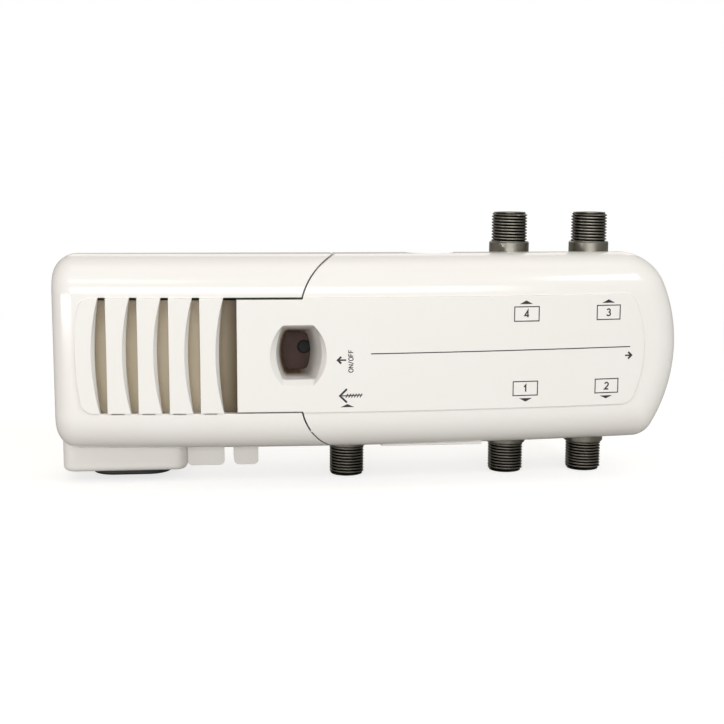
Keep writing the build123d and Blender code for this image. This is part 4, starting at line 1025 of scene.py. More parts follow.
@dataclass
class ThreadedPorts(SubAssembly):
    """The five threaded ports: a turned core with a rolled thread, two flats and a countersunk mouth.

    Heights are measured outwards from the middle of the casing.
    """

    spigot_radius: float = 4.4
    spigot_end: float = 19.6
    collar_radius: float = 5.3
    collar_end: float = 27.35
    core_radius: float = 4.27
    crest_radius: float = 4.76
    bore_radius: float = 3.6
    reach: float = 35.15
    mouth_chamfer: float = 0.55
    edge: float = 0.25
    pitch: float = 0.794
    thread_overlap: float = 0.2
    thread_setback: float = 0.12
    ridge_height: float = 0.55
    ridge_top: float = 0.27
    ridge_foot: float = 0.77
    flat_distance: float = 4.465
    steps_per_turn: int = 72

    def build(self) -> None:
        """Makes the five ports, upwards or downwards as their CAD nodes lie."""
        recipe = self._recipe()
        for port in PORTS:
            node = "f_port_" + port
            low, high = box_mm(node)
            center = (low + high) / 2
            upward = high.z > -low.z
            core = self._core(low.z if upward else -high.z)
            facing = Facing.UP if upward else Facing.DOWN
            place = facing.matrix((center.x * MM, center.y * MM, 0.0))
            self.enter(recipe.grow("threaded_port_" + port, core, place), "base", "port_metal", (node,))

    def _core(self, inner_end: float) -> bpy.types.Mesh:
        """Turned core without the thread.

        Args:
            inner_end: height at which it starts.

        Returns:
            The core, from there to its mouth.
        """
        edge = self.edge
        profile = (
            (self.bore_radius, inner_end), (self.spigot_radius, inner_end),
            (self.spigot_radius, self.spigot_end), (self.collar_radius - edge, self.spigot_end),
            (self.collar_radius, self.spigot_end + edge), (self.collar_radius, self.collar_end - edge),
            (self.collar_radius - edge, self.collar_end), (self.core_radius, self.collar_end),
            (self.core_radius, self.reach - self.mouth_chamfer),
            (self.crest_radius - self.mouth_chamfer, self.reach), (self.bore_radius + edge, self.reach),
            (self.bore_radius, self.reach - edge),
        )
        return MeshShop.lathe(profile, "port_core", self.steps_per_turn)

    def _recipe(self) -> NodeRecipe:
        """Tree that winds the thread round the core and marks its grooves.

        Returns:
            The tree.
        """
        recipe = NodeRecipe("port_thread", {
            **labelled(self, "pitch", "crest_radius", "ridge_height", "ridge_top", "ridge_foot"),
            **labelled(self, "flat_distance", "mouth_chamfer"),
            "Thread Start": self.collar_end - self.thread_overlap,
            "Thread End": self.reach - self.thread_setback,
        })
        thread = self._trimmed(recipe, self._thread(recipe))
        whole = recipe.joined(*recipe.given("Geometry"), thread)
        recipe.close(self._marked(recipe, whole), self.material("port_metal"))
        return recipe

    def _thread(self, recipe: NodeRecipe) -> Socket:
        """The thread's ridge, wound upwards from inside the collar.

        Args:
            recipe: the tree.

        Returns:
            The ridge.
        """
        start, end, pitch, crest = recipe.given("Thread Start", "Thread End", "Pitch", "Crest Radius")
        height, top, foot = recipe.given("Ridge Height", "Ridge Top", "Ridge Foot")
        length = end - start
        helix = recipe.helix(length / pitch, length, crest - height * 0.5, self.steps_per_turn)
        return recipe.raised(recipe.ridge(helix, foot, top, height), start)

    def _trimmed(self, recipe: NodeRecipe, thread: Socket) -> Socket:
        """Trims the thread to the mouth's chamfer, the flats and its own end.

        Args:
            recipe: the tree.
            thread: the ridge as it was wound.

        Returns:
            The trimmed ridge.
        """
        crest, end = recipe.given("Crest Radius", "Thread End")
        chamfer, flat = recipe.given("Mouth Chamfer", "Flat Distance")
        x, y, z = recipe.place()
        past = recipe.math("MAXIMUM", z - (end - chamfer), 0.0)
        radius = recipe.math("SQRT", recipe.squared_radius())
        share = recipe.math("MINIMUM", (crest - past) / radius, 1.0)
        held_x = recipe.math("MAXIMUM", recipe.math("MINIMUM", x * share, flat), flat * -1.0)
        place = recipe.vector(held_x, y * share, recipe.math("MINIMUM", z, end))
        feeds = {"Geometry": thread, "Position": place}
        return recipe.node("GeometryNodeSetPosition", feeds).outputs["Geometry"]

    def _marked(self, recipe: NodeRecipe, whole: Socket) -> Socket:
        """Marks on each point how deep it lies in the thread's groove.

        Args:
            recipe: the tree.
            whole: core and thread.

        Returns:
            The same with the mark: nought on crests and off the thread, one at the groove's root.
        """
        start, end, crest = recipe.given("Thread Start", "Thread End", "Crest Radius")
        z = recipe.place()[2]
        depth = crest - recipe.math("SQRT", recipe.squared_radius())
        threaded = recipe.math("GREATER_THAN", z, start) * recipe.math("LESS_THAN", z, end)
        groove = depth / (crest - self.core_radius) * threaded
        feeds = {"Geometry": whole, "Name": GROOVE_ATTRIBUTE, "Value": recipe.math("MINIMUM", groove, 1.0)}
        settings = {"data_type": "FLOAT", "domain": "POINT"}
        return recipe.node("GeometryNodeStoreNamedAttribute", feeds, **settings).outputs["Geometry"]


@dataclass(frozen=True)
class ScrewKind:
    """One kind of screw and its sizes in millimetres."""

    stem: str
    count: int
    facing: Facing
    head_radius: float
    head_height: float
    core_radius: float
    crest_radius: float
    length: float
    pitch: float
    recess: float
    seed: int

    def inputs(self) -> dict[str, float | int]:
        """What goes into the named inputs of the screws' tree."""
        radii = labelled(self, "head_radius", "head_height", "core_radius", "crest_radius")
        return radii | labelled(self, "length", "pitch", "recess", "seed")


@dataclass
class Screws(SubAssembly):
    """All screws: domed heads with a cross recess on threaded shanks."""

    kinds: tuple[ScrewKind, ...] = (
        ScrewKind(
            "housing_screw", 4, Facing.BACK, head_radius=2.7, head_height=1.2, core_radius=1.05,
            crest_radius=1.45, length=12.0, pitch=1.1, recess=2.9, seed=3,
        ),
        ScrewKind(
            "board_screw", 2, Facing.FRONT, head_radius=2.1, head_height=1.0, core_radius=0.8,
            crest_radius=1.1, length=6.0, pitch=0.8, recess=2.3, seed=7,
        ),
        ScrewKind(
            "chassis_screw", 3, Facing.FRONT, head_radius=2.1, head_height=1.0, core_radius=0.8,
            crest_radius=1.1, length=12.0, pitch=0.8, recess=2.3, seed=11,
        ),
        ScrewKind(
            "shield_screw", 2, Facing.FRONT, head_radius=1.5, head_height=0.7, core_radius=0.65,
            crest_radius=0.9, length=5.0, pitch=0.6, recess=1.7, seed=5,
        ),
    )
    head_corners: int = 40
    side_segments: int = 2
    fill_segments: int = 4
    dome_share: float = 0.3
    dome_start_share: float = 0.9
    recess_width_share: float = 0.24
    recess_middle_share: float = 0.95
    shank_corners: int = 24
    tip_length: float = 1.2
    tip_radius: float = 0.12
    thread_steps: int = 28
    thread_corners: int = 3

    def build(self) -> None:
        """Makes one piece for each kind of screw, standing for the CAD screws of that kind."""
        recipe = self._recipe()
        for kind in self.kinds:
            nodes = numbered(kind.stem, kind.count)
            name = kind.stem + "s"
            seats = MeshShop.seeds([self._seat(node, kind) for node in nodes], name + "_seats")
            piece = recipe.grow(name, seats, kind.facing.matrix(), kind.inputs())
            self.enter(piece, "base", "screw_steel", nodes)

    @staticmethod
    def _seat(node: str, kind: ScrewKind) -> Vector:
        """Middle of a screw head's underside.

        Args:
            node: the CAD screw.
            kind: its kind.

        Returns:
            The place in the local frame of that kind.
        """
        low, high = box_mm(node)
        center = (low + high) / 2
        y = high.y - kind.head_height if kind.facing is Facing.BACK else low.y + kind.head_height
        return Matrix(kind.facing.value).inverted() @ Vector((center.x, y, center.z))

    def _recipe(self) -> NodeRecipe:
        """Tree that puts one screw, turned at random, on each seat.

        Returns:
            The tree.
        """
        recipe = NodeRecipe("screw", self.kinds[0].inputs())
        length, core, crest, pitch = recipe.given("Length", "Core Radius", "Crest Radius", "Pitch")
        plain = length - self.tip_length
        shank = recipe.node("GeometryNodeMeshCylinder", {
            "Vertices": self.shank_corners, "Radius": core, "Depth": plain,
        }).outputs["Mesh"]
        tip = recipe.node("GeometryNodeMeshCone", {
            "Vertices": self.shank_corners, "Radius Top": core, "Radius Bottom": self.tip_radius,
            "Depth": self.tip_length,
        }).outputs["Mesh"]
        depth = crest - core
        wound = plain - depth
        helix = recipe.helix(wound / pitch, wound, core, self.thread_steps)
        thread = recipe.wire(helix, self.thread_corners, depth)
        screw = recipe.joined(
            self._head(recipe), recipe.raised(shank, plain * -0.5), recipe.raised(tip, length * -1.0),
            recipe.raised(thread, plain * -1.0),
        )
        seats, seed = recipe.given("Geometry", "Seed")
        spin = recipe.random("FLOAT", {"Max": FULL_TURN, "Seed": seed})
        recipe.close(recipe.scattered(seats, screw, spin), self.material("screw_steel"))
        return recipe

    def _head(self, recipe: NodeRecipe) -> Socket:
        """Domed head with a cross recess.

        Args:
            recipe: the tree.

        Returns:
            The head, its underside at height nought.
        """
        height, radius, recess = recipe.given("Head Height", "Head Radius", "Recess")
        disc = recipe.node("GeometryNodeMeshCylinder", {
            "Vertices": self.head_corners, "Side Segments": self.side_segments,
            "Fill Segments": self.fill_segments, "Radius": radius, "Depth": height,
        }).outputs["Mesh"]
        outward = recipe.squared_radius() / (radius * radius)
        upper = recipe.math("GREATER_THAN", recipe.place()[2], height * self.dome_start_share)
        drop = outward * upper * (height * -self.dome_share)
        feeds = {"Geometry": recipe.raised(disc, height * 0.5), "Offset": recipe.vector(z=drop)}
        domed = recipe.node("GeometryNodeSetPosition", feeds).outputs["Geometry"]
        cut = recipe.node("GeometryNodeMeshBoolean", {"Mesh 1": domed}, operation="DIFFERENCE")
        narrow = recess * self.recess_width_share
        for width, depth in ((recess, narrow), (narrow, recess)):
            bar = recipe.raised(recipe.box(width, depth, height), height * self.recess_middle_share)
            recipe.feed(cut.inputs["Mesh 2"], bar)
        return cut.outputs["Mesh"]


@dataclass
class WoundParts(SubAssembly):
    """Copper windings: two air coils on the radio board and the turns of the line choke."""

    coil_nodes: tuple[str, ...] = numbered("rf_coil", 2)
    coil_wire: float = 0.26
    coil_turns: float = 6.0
    coil_steps: int = 32
    coil_corners: int = 10
    lead_reach: float = 0.55
    choke_node: str = "line_choke"
    choke_bore: float = 2.2
    choke_wire: float = 0.3
    choke_corners: int = 8
    choke_turns: int = 22
    choke_open: int = 3
    loop_corner: float = 0.7
    loop_corner_steps: int = 5

    def build(self) -> None:
        """Makes the coils in place of their CAD solids, and the choke's turns round its core."""
        recipe = self._coil_recipe()
        for node in self.coil_nodes:
            low, high = box_mm(node)
            middle = (low + high) / 2
            start = (low.x + self.coil_wire, middle.y, middle.z)
            place = Facing.ALONG.matrix([size * MM for size in start])
            seed = MeshShop.seeds((), node + "_seed")
            piece = recipe.grow(node + "_wire", seed, place, self._coil_sizes(node))
            self.enter(piece, "base", "coil_copper", (node,))
        self._choke()

    def _coil_sizes(self, node: str) -> dict[str, float]:
        """Sizes of a coil along the middle of its wire.

        Args:
            node: the CAD coil.

        Returns:
            Its radius and its length by the labels of the tree's inputs.
        """
        low, high = box_mm(node)
        radius = (high.y - low.y) / 2 - self.coil_wire
        return {"Radius": radius, "Length": high.x - low.x - 2 * self.coil_wire}

    def _coil_recipe(self) -> NodeRecipe:
        """Tree of one air coil: wound wire and its two leads down to the board.

        Returns:
            The tree.
        """
        recipe = NodeRecipe("air_coil", {
            **self._coil_sizes(self.coil_nodes[0]), "Wire": self.coil_wire, "Turns": self.coil_turns,
            "Lead": self.lead_reach,
        })
        radius, length, wire, turns, lead = recipe.given("Radius", "Length", "Wire", "Turns", "Lead")
        parts = [recipe.wire(recipe.helix(turns, length, radius, self.coil_steps), self.coil_corners, wire)]
        for height in (0.0, length):
            start, end = recipe.vector(radius, 0.0, height), recipe.vector(radius + lead, 0.0, height)
            line = recipe.node("GeometryNodeCurvePrimitiveLine", {"Start": start, "End": end})
            parts.append(recipe.wire(line.outputs["Curve"], self.coil_corners, wire))
        recipe.close(recipe.joined(*parts), self.material("coil_copper"))
        return recipe

    def _choke(self) -> None:
        """Winds turns of enamelled wire round the choke's ring core and leaves a gap."""
        low, high = box_mm(self.choke_node)
        recipe = NodeRecipe("choke_turns", {
            "Inner Radius": self.choke_bore, "Outer Radius": (high.x - low.x) / 2, "Height": high.y - low.y,
            "Wire": self.choke_wire, "Turns": self.choke_turns, "Open Turns": self.choke_open,
        })
        inner, outer, turns, unused = recipe.given("Inner Radius", "Outer Radius", "Turns", "Open Turns")
        index = recipe.node("GeometryNodeInputIndex").outputs["Index"]
        circle = recipe.node("GeometryNodeMeshCircle", {"Vertices": turns, "Radius": (inner + outer) * 0.5})
        step = recipe.math("DIVIDE", FULL_TURN, turns)
        wound = recipe.scattered(
            circle.outputs["Mesh"], self._loop(recipe), recipe.math("MULTIPLY", index, step),
            recipe.math("LESS_THAN", index, turns - unused),
        )
        recipe.close(wound, self.material("coil_copper"))
        place = Facing.FRONT.matrix((low + high) / 2 * MM)
        piece = recipe.grow("choke_winding", MeshShop.seeds((), "choke_seed"), place)
        self.enter(piece, "base", "coil_copper")

    def _loop(self, recipe: NodeRecipe) -> Socket:
        """One turn of wire, close round the core's section.

        Args:
            recipe: the choke's tree.

        Returns:
            The turn, upright.
        """
        inner, outer, height, wire = recipe.given("Inner Radius", "Outer Radius", "Height", "Wire")
        twice = wire * 2.0
        sides = {"Width": outer - inner + twice, "Height": height + twice}
        loop = recipe.node("GeometryNodeCurvePrimitiveQuadrilateral", sides).outputs["Curve"]
        corners = {"Curve": loop, "Radius": self.loop_corner, "Count": self.loop_corner_steps}
        path = recipe.node("GeometryNodeFilletCurve", corners, mode="POLY").outputs["Curve"]
        turn = recipe.wire(path, self.choke_corners, wire)
        return recipe.moved(turn, (0.0, 0.0, 0.0), (QUARTER_TURN, 0.0, 0.0))


@dataclass
class BoardChips(SubAssembly):
    """Small ceramic parts with tinned ends, scattered over the free ground of the radio board."""

    board: str = "rf_board"
    keep_clear: tuple[str, ...] = (
        "amplifier_chip", "filter_can", "gain_trimmer", "dc_feedthrough", *numbered("splitter_core", 3),
        *numbered("rf_coil", 2), *numbered("chassis_screw", 3), *numbered("shield_screw", 2),
        *("port_contact_" + port for port in PORTS),
    )
    margin: float = 2.2
    grid_pitch: float = 3.4
    edge: float = 2.4
    length: float = 1.6
    width: float = 0.8
    height: float = 0.55
    cap_shares: tuple[float, float, float] = (0.24, 1.06, 1.1)
    cap_place_share: float = 0.42
    fill_share: float = 0.62
    seed: int = 19

    def build(self) -> None:
        """Scatters the parts on a grid, leaving out what lies too near a larger part."""
        low, high = box_mm(self.board)
        boxes = [box_mm(node) for node in self.keep_clear]
        spots = [
            (x, z, -low.y) for x in self._stations(low.x, high.x) for z in self._stations(low.z, high.z)
            if not any(self._near(x, z, box) for box in boxes)
        ]
        seeds = MeshShop.seeds(spots, "chip_spots")
        piece = self._recipe().grow("board_chips", seeds, Facing.FRONT.matrix())
        self.enter(piece, "base", "chip_resin")

    def _stations(self, low: float, high: float) -> list[float]:
        """Places of the grid along one side of the board.

        Args:
            low: where the side starts.
            high: where it ends.

        Returns:
            The places.
        """
        steps = int((high - low - 2 * self.edge) / self.grid_pitch)
        return [low + self.edge + step * self.grid_pitch for step in range(steps + 1)]

    def _near(self, x: float, z: float, box: tuple[Vector, Vector]) -> bool:
        """Tells whether a spot lies within the margin of a node.

        Args:
            x: the spot's place along the board.
            z: its height on the board.
            box: the node's lowest and highest corner.

        Returns:
            Whether it is that near.
        """
        low, high = box
        inside_x = low.x - self.margin < x < high.x + self.margin
        return inside_x and low.z - self.margin < z < high.z + self.margin

    def _recipe(self) -> NodeRecipe:
        """Tree that puts a small part on some of the spots, some of them turned by a quarter.

        Returns:
            The tree.
        """
        inputs = labelled(self, "length", "width", "height", "fill_share", "seed")
        recipe = NodeRecipe("board_chips", inputs)
        spots, seed, filled = recipe.given("Geometry", "Seed", "Fill Share")
        sizes = recipe.given("Length", "Width", "Height")
        length, _, height = sizes
        parts = [recipe.coloured(recipe.box(*sizes), self.bench.material(CHIP_CERAMIC))]
        cap = recipe.box(*(size * share for size, share in zip(sizes, self.cap_shares)))
        cap = recipe.coloured(cap, self.bench.material(SOLDER))
        for share in (-self.cap_place_share, self.cap_place_share):
            parts.append(recipe.moved(cap, recipe.vector(x=length * share)))
        part = recipe.raised(recipe.joined(*parts), height * 0.5)
        chosen = recipe.random("BOOLEAN", {"Seed": seed, "Probability": filled})
        turn = recipe.random("BOOLEAN", {"Seed": seed + 1.0}) * QUARTER_TURN
        recipe.close(recipe.scattered(spots, part, turn, chosen))
        return recipe


@dataclass
class CapacitorTops(SubAssembly):
    """Aluminium tops of the two electrolytic capacitors, with a stamped ring."""

    nodes: tuple[str, ...] = ("input_capacitor", "output_capacitor")
    rim: float = 1.1
    thick: float = 0.3
    proud: float = 0.12
    groove: float = 0.09
    ring_share: float = 0.55
    steps: int = 48

    def build(self) -> None:
        """Sets a thin stamped disc into the front of each can."""
        for node in self.nodes:
            low, high = box_mm(node)
            name = node + "_top"
            mesh = MeshShop.lathe(self._profile((high.x - low.x) / 2 - self.rim), name, self.steps)
            center = (low + high) / 2
            seat = low.y + self.thick - self.proud
            mesh.transform(Facing.FRONT.matrix((center.x * MM, seat * MM, center.z * MM)))
            mesh.materials.append(self.material("sink_aluminium"))
            self.enter(new_object(name, mesh), "base", "sink_aluminium")

    def _profile(self, radius: float) -> tuple[Point, ...]:
        """Section of a disc with its ring.

        Args:
            radius: the disc's radius.

        Returns:
            The corners as radius and height.
        """
        inner = radius * self.ring_share
        lip = self.thick - self.groove
        return (
            (0.0, 0.0), (radius, 0.0), (radius, lip), (radius - self.groove, self.thick),
            (inner + 2 * self.groove, self.thick), (inner + self.groove, lip), (inner, lip),
            (inner - self.groove, self.thick), (0.0, self.thick),
        )


def arc(center: Point, radii: Point, start: float, end: float, steps: int = 12) -> tuple[Point, ...]:
    """Points along an ellipse's arc.

    Args:
        center: the ellipse's centre.
        radii: its half-width and half-height.
        start: where the arc starts, in degrees from the right.
        end: where it ends.
        steps: how many steps it takes.

    Returns:
        The points.
    """
    angles = (math.radians(start + (end - start) * step / steps) for step in range(steps + 1))
    return tuple((center[0] + radii[0] * math.cos(a), center[1] + radii[1] * math.sin(a)) for a in angles)


@dataclass(frozen=True)
class Glyph:
    """A character as strokes in a cell of height one. Its width is the cell's, and x is a share of it."""

    width: float
    strokes: tuple[tuple[Point, ...], ...]


RING = arc((0.5, 0.5), (0.5, 0.5), 90, 450, 24)
GLYPHS = {
    "1": Glyph(0.5, (((0.1, 0.72), (0.62, 1.0), (0.62, 0.0)),)),
    "2": Glyph(0.58, (arc((0.5, 0.71), (0.47, 0.29), 165, -35) + ((0.03, 0.0), (1.0, 0.0)),)),
    "3": Glyph(0.58, (
        arc((0.46, 0.76), (0.42, 0.24), 160, -80), arc((0.46, 0.27), (0.5, 0.27), 90, -160),
    )),
    "4": Glyph(0.64, (((0.72, 0.0), (0.72, 1.0), (0.0, 0.27), (1.0, 0.27)),)),
    "O": Glyph(0.74, ((*RING[:-1], RING[0]),)),
    "N": Glyph(0.66, (((0.0, 0.0), (0.0, 1.0)), ((0.0, 1.0), (1.0, 0.0)), ((1.0, 0.0), (1.0, 1.0)))),
    "F": Glyph(0.54, (((0.0, 0.0), (0.0, 1.0), (1.0, 1.0)), ((0.0, 0.52), (0.85, 0.52)))),
    "/": Glyph(0.42, (((0.0, -0.1), (1.0, 1.1)),)),
}


@dataclass(frozen=True)
class Pointer:
    """Triangle that points up or down: the x of its middle, and the heights of its tip and its base."""

    x: float
    tip: float
    base: float


@dataclass
class FrontPrint(SubAssembly):
    """Plain marks printed on the cover: port numbers, arrows, a rule and the switch's words.

    Places are x along the cover and z up it. The frames' rows hold their numbers from the left.
    """

    bow_radius: float = 590.5
    bow_center_x: float = -12.25
    bow_center_y: float = 552.5
    proud: float = 0.02
    sunk: float = 0.06
    thin: float = 0.27
    bold: float = 0.5
    frame_columns: tuple[Span, ...] = ((34.65, 41.45), (56.95, 63.55))
    frame_rows: tuple[tuple[str, Span], ...] = (("43", (7.85, 11.8)), ("12", (-11.4, -7.5)))
    number_height: float = 2.1
    number_stroke: float = 0.36
    pointers: tuple[Pointer, ...] = (
        Pointer(37.85, 13.3, 12.35), Pointer(60.15, 13.2, 12.3), Pointer(38.15, -12.9, -12.0),
        Pointer(60.15, -12.8, -12.0), Pointer(-8.2, -12.4, -13.2),
    )
    pointer_half: float = 1.75
    rule: tuple[Point, Point] = ((-2.25, 0.3), (66.55, 0.7))
    rule_steps: int = 30
    slide_arrow: tuple[Point, Point] = ((65.2, -1.6), (66.95, -1.6))
    slide_wing: float = 0.9
    button_arrow: tuple[Point, Point] = ((-8.55, -1.2), (-10.65, -1.2))
    button_wing: float = 0.85
    shaft_share: float = 0.8
    aerial_boom: tuple[Point, Point] = ((-9.65, -10.3), (-4.45, -10.15))
    aerial_head: tuple[Point, ...] = ((-8.35, -8.55), (-10.1, -10.3), (-8.35, -12.0))
    aerial_ticks: int = 6
    tick_start: float = -8.35
    tick_pitch: float = 0.72
    tick_lean: float = 0.28
    tick_span: Span = (-10.75, -9.8)
    switch_word: str = "ON/OFF"
    word_middle: Point = (-7.35, -1.5)
    word_height: float = 1.35
    word_stroke: float = 0.22
    letter_gap: float = 0.26
    least_mitre: float = 0.3

    def build(self) -> None:
        """Draws every mark, lays it on the bowed panel and joins all into one piece of ink."""
        marks = self._frames() + self._pointers() + self._arrows() + self._aerial() + self._words()
        whole = MeshShop.merged(marks, "cover_print")
        for vertex in whole.vertices:
            across, up, lift = vertex.co
            vertex.co = Vector((across, self._panel(across) - lift, up)) * MM
        whole.materials.append(self.bench.material(PRINT_INK))
        self.enter(new_object("cover_print", whole), "cover", "button_plastic")

    def _panel(self, x: float) -> float:
        """Depth of the raised panel's face at x."""
        return self.bow_center_y - math.sqrt(self.bow_radius ** 2 - (x - self.bow_center_x) ** 2)

    def _slab(self, points: Sequence[Point], faces: Sequence[Sequence[int]]) -> bpy.types.Mesh:
        """Thin layer of ink, sunk a little into the panel."""
        return MeshShop.slab(points, faces, -self.sunk, self.proud, "ink")

    def _band(self, path: Sequence[Point], width: float, ring: bool = False) -> bpy.types.Mesh:
        """Line of even width along a path, with mitred corners.

        Args:
            path: the corners of the line's middle.
            width: the line's width.
            ring: whether the line closes on itself.

        Returns:
            The line as a thin slab.
        """
        count = len(path)
        spans = count if ring else count - 1
        places = [Vector(point) for point in path]
        ways = [(places[(index + 1) % count] - places[index]).normalized() for index in range(spans)]
        points = []
        for index, place in enumerate(places):
            before = ways[index - 1] if ring or index > 0 else ways[0]
            after = ways[index] if index < spans else before
            way = (before + after).normalized()
            mitre = max(self.least_mitre, way.dot(before))
            across = Vector((-way.y, way.x)) * (width / 2 / mitre)
            points += [tuple(place + across), tuple(place - across)]
        corners = 2 * count
        faces = []
        for left in range(0, 2 * spans, 2):
            faces.append((left, left + 1, (left + 3) % corners, (left + 2) % corners))
        return self._slab(points, faces)

    def _frames(self) -> list[bpy.types.Mesh]:
        """Draws the framed port numbers.

        Returns:
            The marks.
        """
        marks = []
        inset = self.thin / 2
        for numbers, (low, high) in self.frame_rows:
            for number, (left, right) in zip(numbers, self.frame_columns):
                corners = (
                    (left + inset, low + inset), (right - inset, low + inset),
                    (right - inset, high - inset), (left + inset, high - inset),
                )
                marks.append(self._band(corners, self.thin, ring=True))
                middle = ((left + right) / 2, (low + high) / 2)
                marks += self._glyphs(number, middle, self.number_height, self.number_stroke)
        return marks

    def _pointers(self) -> list[bpy.types.Mesh]:
        """Draws the triangles that point at the ports and at the aerial's inlet.

        Returns:
            The marks.
        """
        marks = []
        for pointer in self.pointers:
            half = math.copysign(self.pointer_half, pointer.tip - pointer.base)
            base = ((pointer.x - half, pointer.base), (pointer.x + half, pointer.base))
            marks.append(self._slab((*base, (pointer.x, pointer.tip)), ((0, 1, 2),)))
        return marks

    def _arrows(self) -> list[bpy.types.Mesh]:
        """Draws the rule, the arrow that the cover slides by and the one that points at the button.

        Returns:
            The marks.
        """
        start, end = (Vector(corner) for corner in self.rule)
        rule = [tuple(start.lerp(end, step / self.rule_steps)) for step in range(self.rule_steps + 1)]
        marks = [self._band(rule, self.thin)]
        arrows = ((*self.slide_arrow, self.slide_wing), (*self.button_arrow, self.button_wing))
        for tail, tip, wing in arrows:
            turn = math.copysign(1.0, tip[0] - tail[0])
            back = tip[0] - turn * wing
            shaft = (tail, (tip[0] - turn * self.bold / 2, tip[1]))
            marks.append(self._band(shaft, self.bold * self.shaft_share))
            marks.append(self._band(((back, tip[1] + wing), tip, (back, tip[1] - wing)), self.bold))
        return marks

    def _aerial(self) -> list[bpy.types.Mesh]:
        """Draws the aerial's sign: a boom, an open head and leaning ticks.

        Returns:
            The marks.
        """
        marks = [self._band(self.aerial_boom, self.thin), self._band(self.aerial_head, self.bold)]
        low, high = self.tick_span
        for tick in range(self.aerial_ticks):
            x = self.tick_start + tick * self.tick_pitch
            marks.append(self._band(((x - self.tick_lean, low), (x + self.tick_lean, high)), self.thin))
        return marks

    def _words(self) -> list[bpy.types.Mesh]:
        """The words beside the push button, which read upwards."""
        word, middle = self.switch_word, self.word_middle
        return self._glyphs(word, middle, self.word_height, self.word_stroke, QUARTER_TURN)

    def _glyphs(
        self, word: str, center: Point, height: float, stroke: float, turn: float = 0.0,
    ) -> list[bpy.types.Mesh]:
        """Characters drawn with strokes of even width, centred on a spot.

        Args:
            word: the characters.
            center: the middle of the word.
            height: the height of its characters, over the strokes' outer edges.
            stroke: the strokes' width.
            turn: how far the word is turned, in radians.

        Returns:
            One thin slab for each stroke.
        """
        scale = height - stroke
        spin = Matrix.Rotation(turn, 2)
        glyphs = [GLYPHS[sign] for sign in word]
        start = -(sum(glyph.width for glyph in glyphs) + self.letter_gap * (len(word) - 1)) / 2
        marks = []
        for glyph in glyphs:
            for path in glyph.strokes:
                ring = path[0] == path[-1]
                corners = [
                    Vector(center) + spin @ (Vector((start + x * glyph.width, y - 0.5)) * scale)
                    for x, y in (path[:-1] if ring else path)
                ]
                marks.append(self._band(corners, stroke, ring))
            start += glyph.width + self.letter_gap
        return marks


@dataclass(frozen=True)
class Lamp:
    """Soft rectangular lamp aimed at the object, in metres and watts."""

    name: str
    place: Place
    size: tuple[float, float]
    power: float
    colour: Colour = WHITE


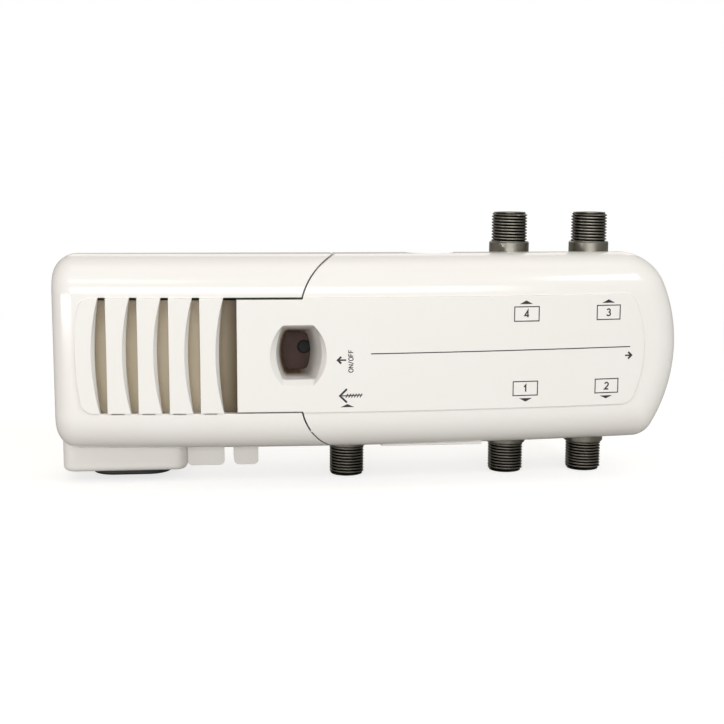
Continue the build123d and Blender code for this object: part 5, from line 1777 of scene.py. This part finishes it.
@dataclass
class Studio:
    """Floor, light and camera. Lengths are in metres and angles in degrees."""

    lens: float = 64.083
    sensor: float = 36.0
    clip: Span = (0.01, 20.0)
    eye: Place = (-0.0406, -0.35662, 0.04496)
    yaw: float = 6.454
    pitch: float = 8.284
    roll: float = 0.205
    floor_half: float = 4.0
    floor_drop: float = 0.00005
    floor_colour: Colour = (0.45, 0.44, 0.42)
    glow_strength: float = 0.72
    fade: Span = (0.13, 0.42)
    sky_strength: float = 0.42
    sky_colour: Colour = (1.0, 0.965, 0.92)
    lamps: tuple[Lamp, ...] = (
        Lamp("front_window", (-0.04, -0.95, 0.15), (0.90, 0.22), 4.0),
        Lamp("top_panel", (0.05, -0.10, 0.95), (0.90, 0.50), 1.1, (1.0, 0.92, 0.83)),
        Lamp("left_softbox", (-0.34, -0.80, 0.58), (0.34, 0.16), 0.6),
        Lamp("right_softbox", (0.62, -0.66, 0.56), (0.34, 0.20), 2.5, (0.88, 0.95, 1.0)),
        Lamp("back_panel", (0.10, 0.90, 0.50), (0.90, 0.50), 1.6, (1.0, 0.96, 0.9)),
        Lamp("side_card", (-0.30, -0.24, -0.017), (0.26, 0.012), 0.17),
    )

    def build(self) -> None:
        """Makes the floor, the world, the lamps and the camera, and sets the view transform."""
        self._floor()
        self._world()
        for lamp in self.lamps:
            self._light(lamp)
        self._camera()
        bpy.context.scene.view_settings.view_transform = "Standard"

    @staticmethod
    def _seen(wiring: Wiring) -> Term:
        """One for rays that show the background itself, nought for those that light the object.

        Args:
            wiring: the tree of the floor's material or of the world.

        Returns:
            The number.
        """
        path = wiring.node("ShaderNodeLightPath").outputs
        return wiring.math("ADD", path["Is Camera Ray"], path["Is Transmission Ray"], use_clamp=True)

    def _floor(self) -> None:
        """Lays a wide pale floor just under the lowest point of the object."""
        low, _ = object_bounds()
        half, level = self.floor_half, low.z - self.floor_drop
        corners = [(-half, -half, level), (half, -half, level), (half, half, level), (-half, half, level)]
        mesh = bpy.data.meshes.new("floor")
        mesh.from_pydata(corners, [], [(0, 1, 2, 3)])
        mesh.materials.append(self._floor_material())
        new_object("studio_floor", mesh)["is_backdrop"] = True

    def _floor_material(self) -> bpy.types.Material:
        """Floor that shows the object's shadow and turns white to the eye where that has ended.

        Returns:
            The node material.
        """
        material = bpy.data.materials.new("studio_floor")
        wiring = Wiring(emptied(material))
        seen = self._seen(wiring)
        matt = wiring.node("ShaderNodeBsdfDiffuse", {"Color": self.floor_colour}).outputs["BSDF"]
        glow = wiring.node("ShaderNodeEmission", {"Strength": seen * self.glow_strength}).outputs["Emission"]
        near = wiring.node("ShaderNodeAddShader", {0: matt, 1: glow}).outputs["Shader"]
        white = wiring.node("ShaderNodeEmission").outputs["Emission"]
        place = wiring.node("ShaderNodeTexCoord").outputs["Object"]
        distance = wiring.node("ShaderNodeVectorMath", {0: place}, operation="LENGTH").outputs["Value"]
        faded = seen * wiring.ranged(distance, self.fade, smooth=True)
        both = wiring.node("ShaderNodeMixShader", {"Fac": faded, 1: near, 2: white}).outputs["Shader"]
        wiring.node("ShaderNodeOutputMaterial", {"Surface": both})
        return material

    def _world(self) -> None:
        """Sets white surroundings for the eye, softer and warmer as a source of light."""
        world = bpy.data.worlds.new("studio")
        bpy.context.scene.world = world
        wiring = Wiring(emptied(world))
        seen = self._seen(wiring)
        background = wiring.node("ShaderNodeBackground", {
            "Color": wiring.mixed(seen, self.sky_colour, WHITE),
            "Strength": wiring.ranged(seen, (0.0, 1.0), (self.sky_strength, 1.0)),
        })
        wiring.node("ShaderNodeOutputWorld", {"Surface": background.outputs["Background"]})

    @staticmethod
    def _light(lamp: Lamp) -> None:
        """Hangs a lamp and aims it at the middle of the object.

        Args:
            lamp: the lamp.
        """
        light = bpy.data.lights.new(lamp.name, "AREA")
        light.shape = "RECTANGLE"
        light.size, light.size_y = lamp.size
        light.energy = lamp.power
        light.color = lamp.colour
        hung = bpy.data.objects.new(lamp.name, light)
        bpy.context.scene.collection.objects.link(hung)
        hung.visible_camera = False
        hung.location = lamp.place
        hung.rotation_mode = "QUATERNION"
        hung.rotation_quaternion = (-Vector(lamp.place)).to_track_quat("-Z", "Y")

    def _camera(self) -> None:
        """Sets the camera up where the photographer stood."""
        yaw, pitch, roll = (math.radians(angle) for angle in (self.yaw, self.pitch, self.roll))
        ahead = Vector((math.sin(yaw) * math.cos(pitch), math.cos(yaw) * math.cos(pitch), -math.sin(pitch)))
        right = Vector((math.cos(yaw), -math.sin(yaw), 0.0))
        up = right.cross(ahead)
        rolled_right = right * math.cos(roll) + up * math.sin(roll)
        rolled_up = up * math.cos(roll) - right * math.sin(roll)
        data = bpy.data.cameras.new("camera")
        data.lens, data.sensor_width = self.lens, self.sensor
        data.clip_start, data.clip_end = self.clip
        camera = bpy.data.objects.new("camera", data)
        bpy.context.scene.collection.objects.link(camera)
        turn = Matrix((rolled_right, rolled_up, -ahead)).transposed().to_4x4()
        camera.matrix_world = Matrix.Translation(self.eye) @ turn
        bpy.context.scene.camera = camera


def measured() -> list[list[float]]:
    """The corners of the shown object's box as plain lists."""
    bpy.context.view_layer.update()
    return [list(corner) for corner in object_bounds()]


def main() -> None:
    """Builds the sub-assemblies in order and reports each piece."""
    logging.basicConfig(level=logging.INFO, format="%(name)s: %(message)s")
    cad_box = measured()
    bench = MaterialBench()
    Studio().build()
    CadDress(bench).build(frame["nodes"])
    for kind in (ThreadedPorts, Screws, WoundParts, BoardChips, CapacitorTops, FrontPrint):
        assembly = kind(bench)
        assembly.build()
        for piece in assembly.pieces:
            log.info("%s: %s, %d faces", kind.__name__, piece.name, len(piece.data.polygons))
    {"cad": cad_box, "visual": measured()}


if __name__ == "__main__":
    main()
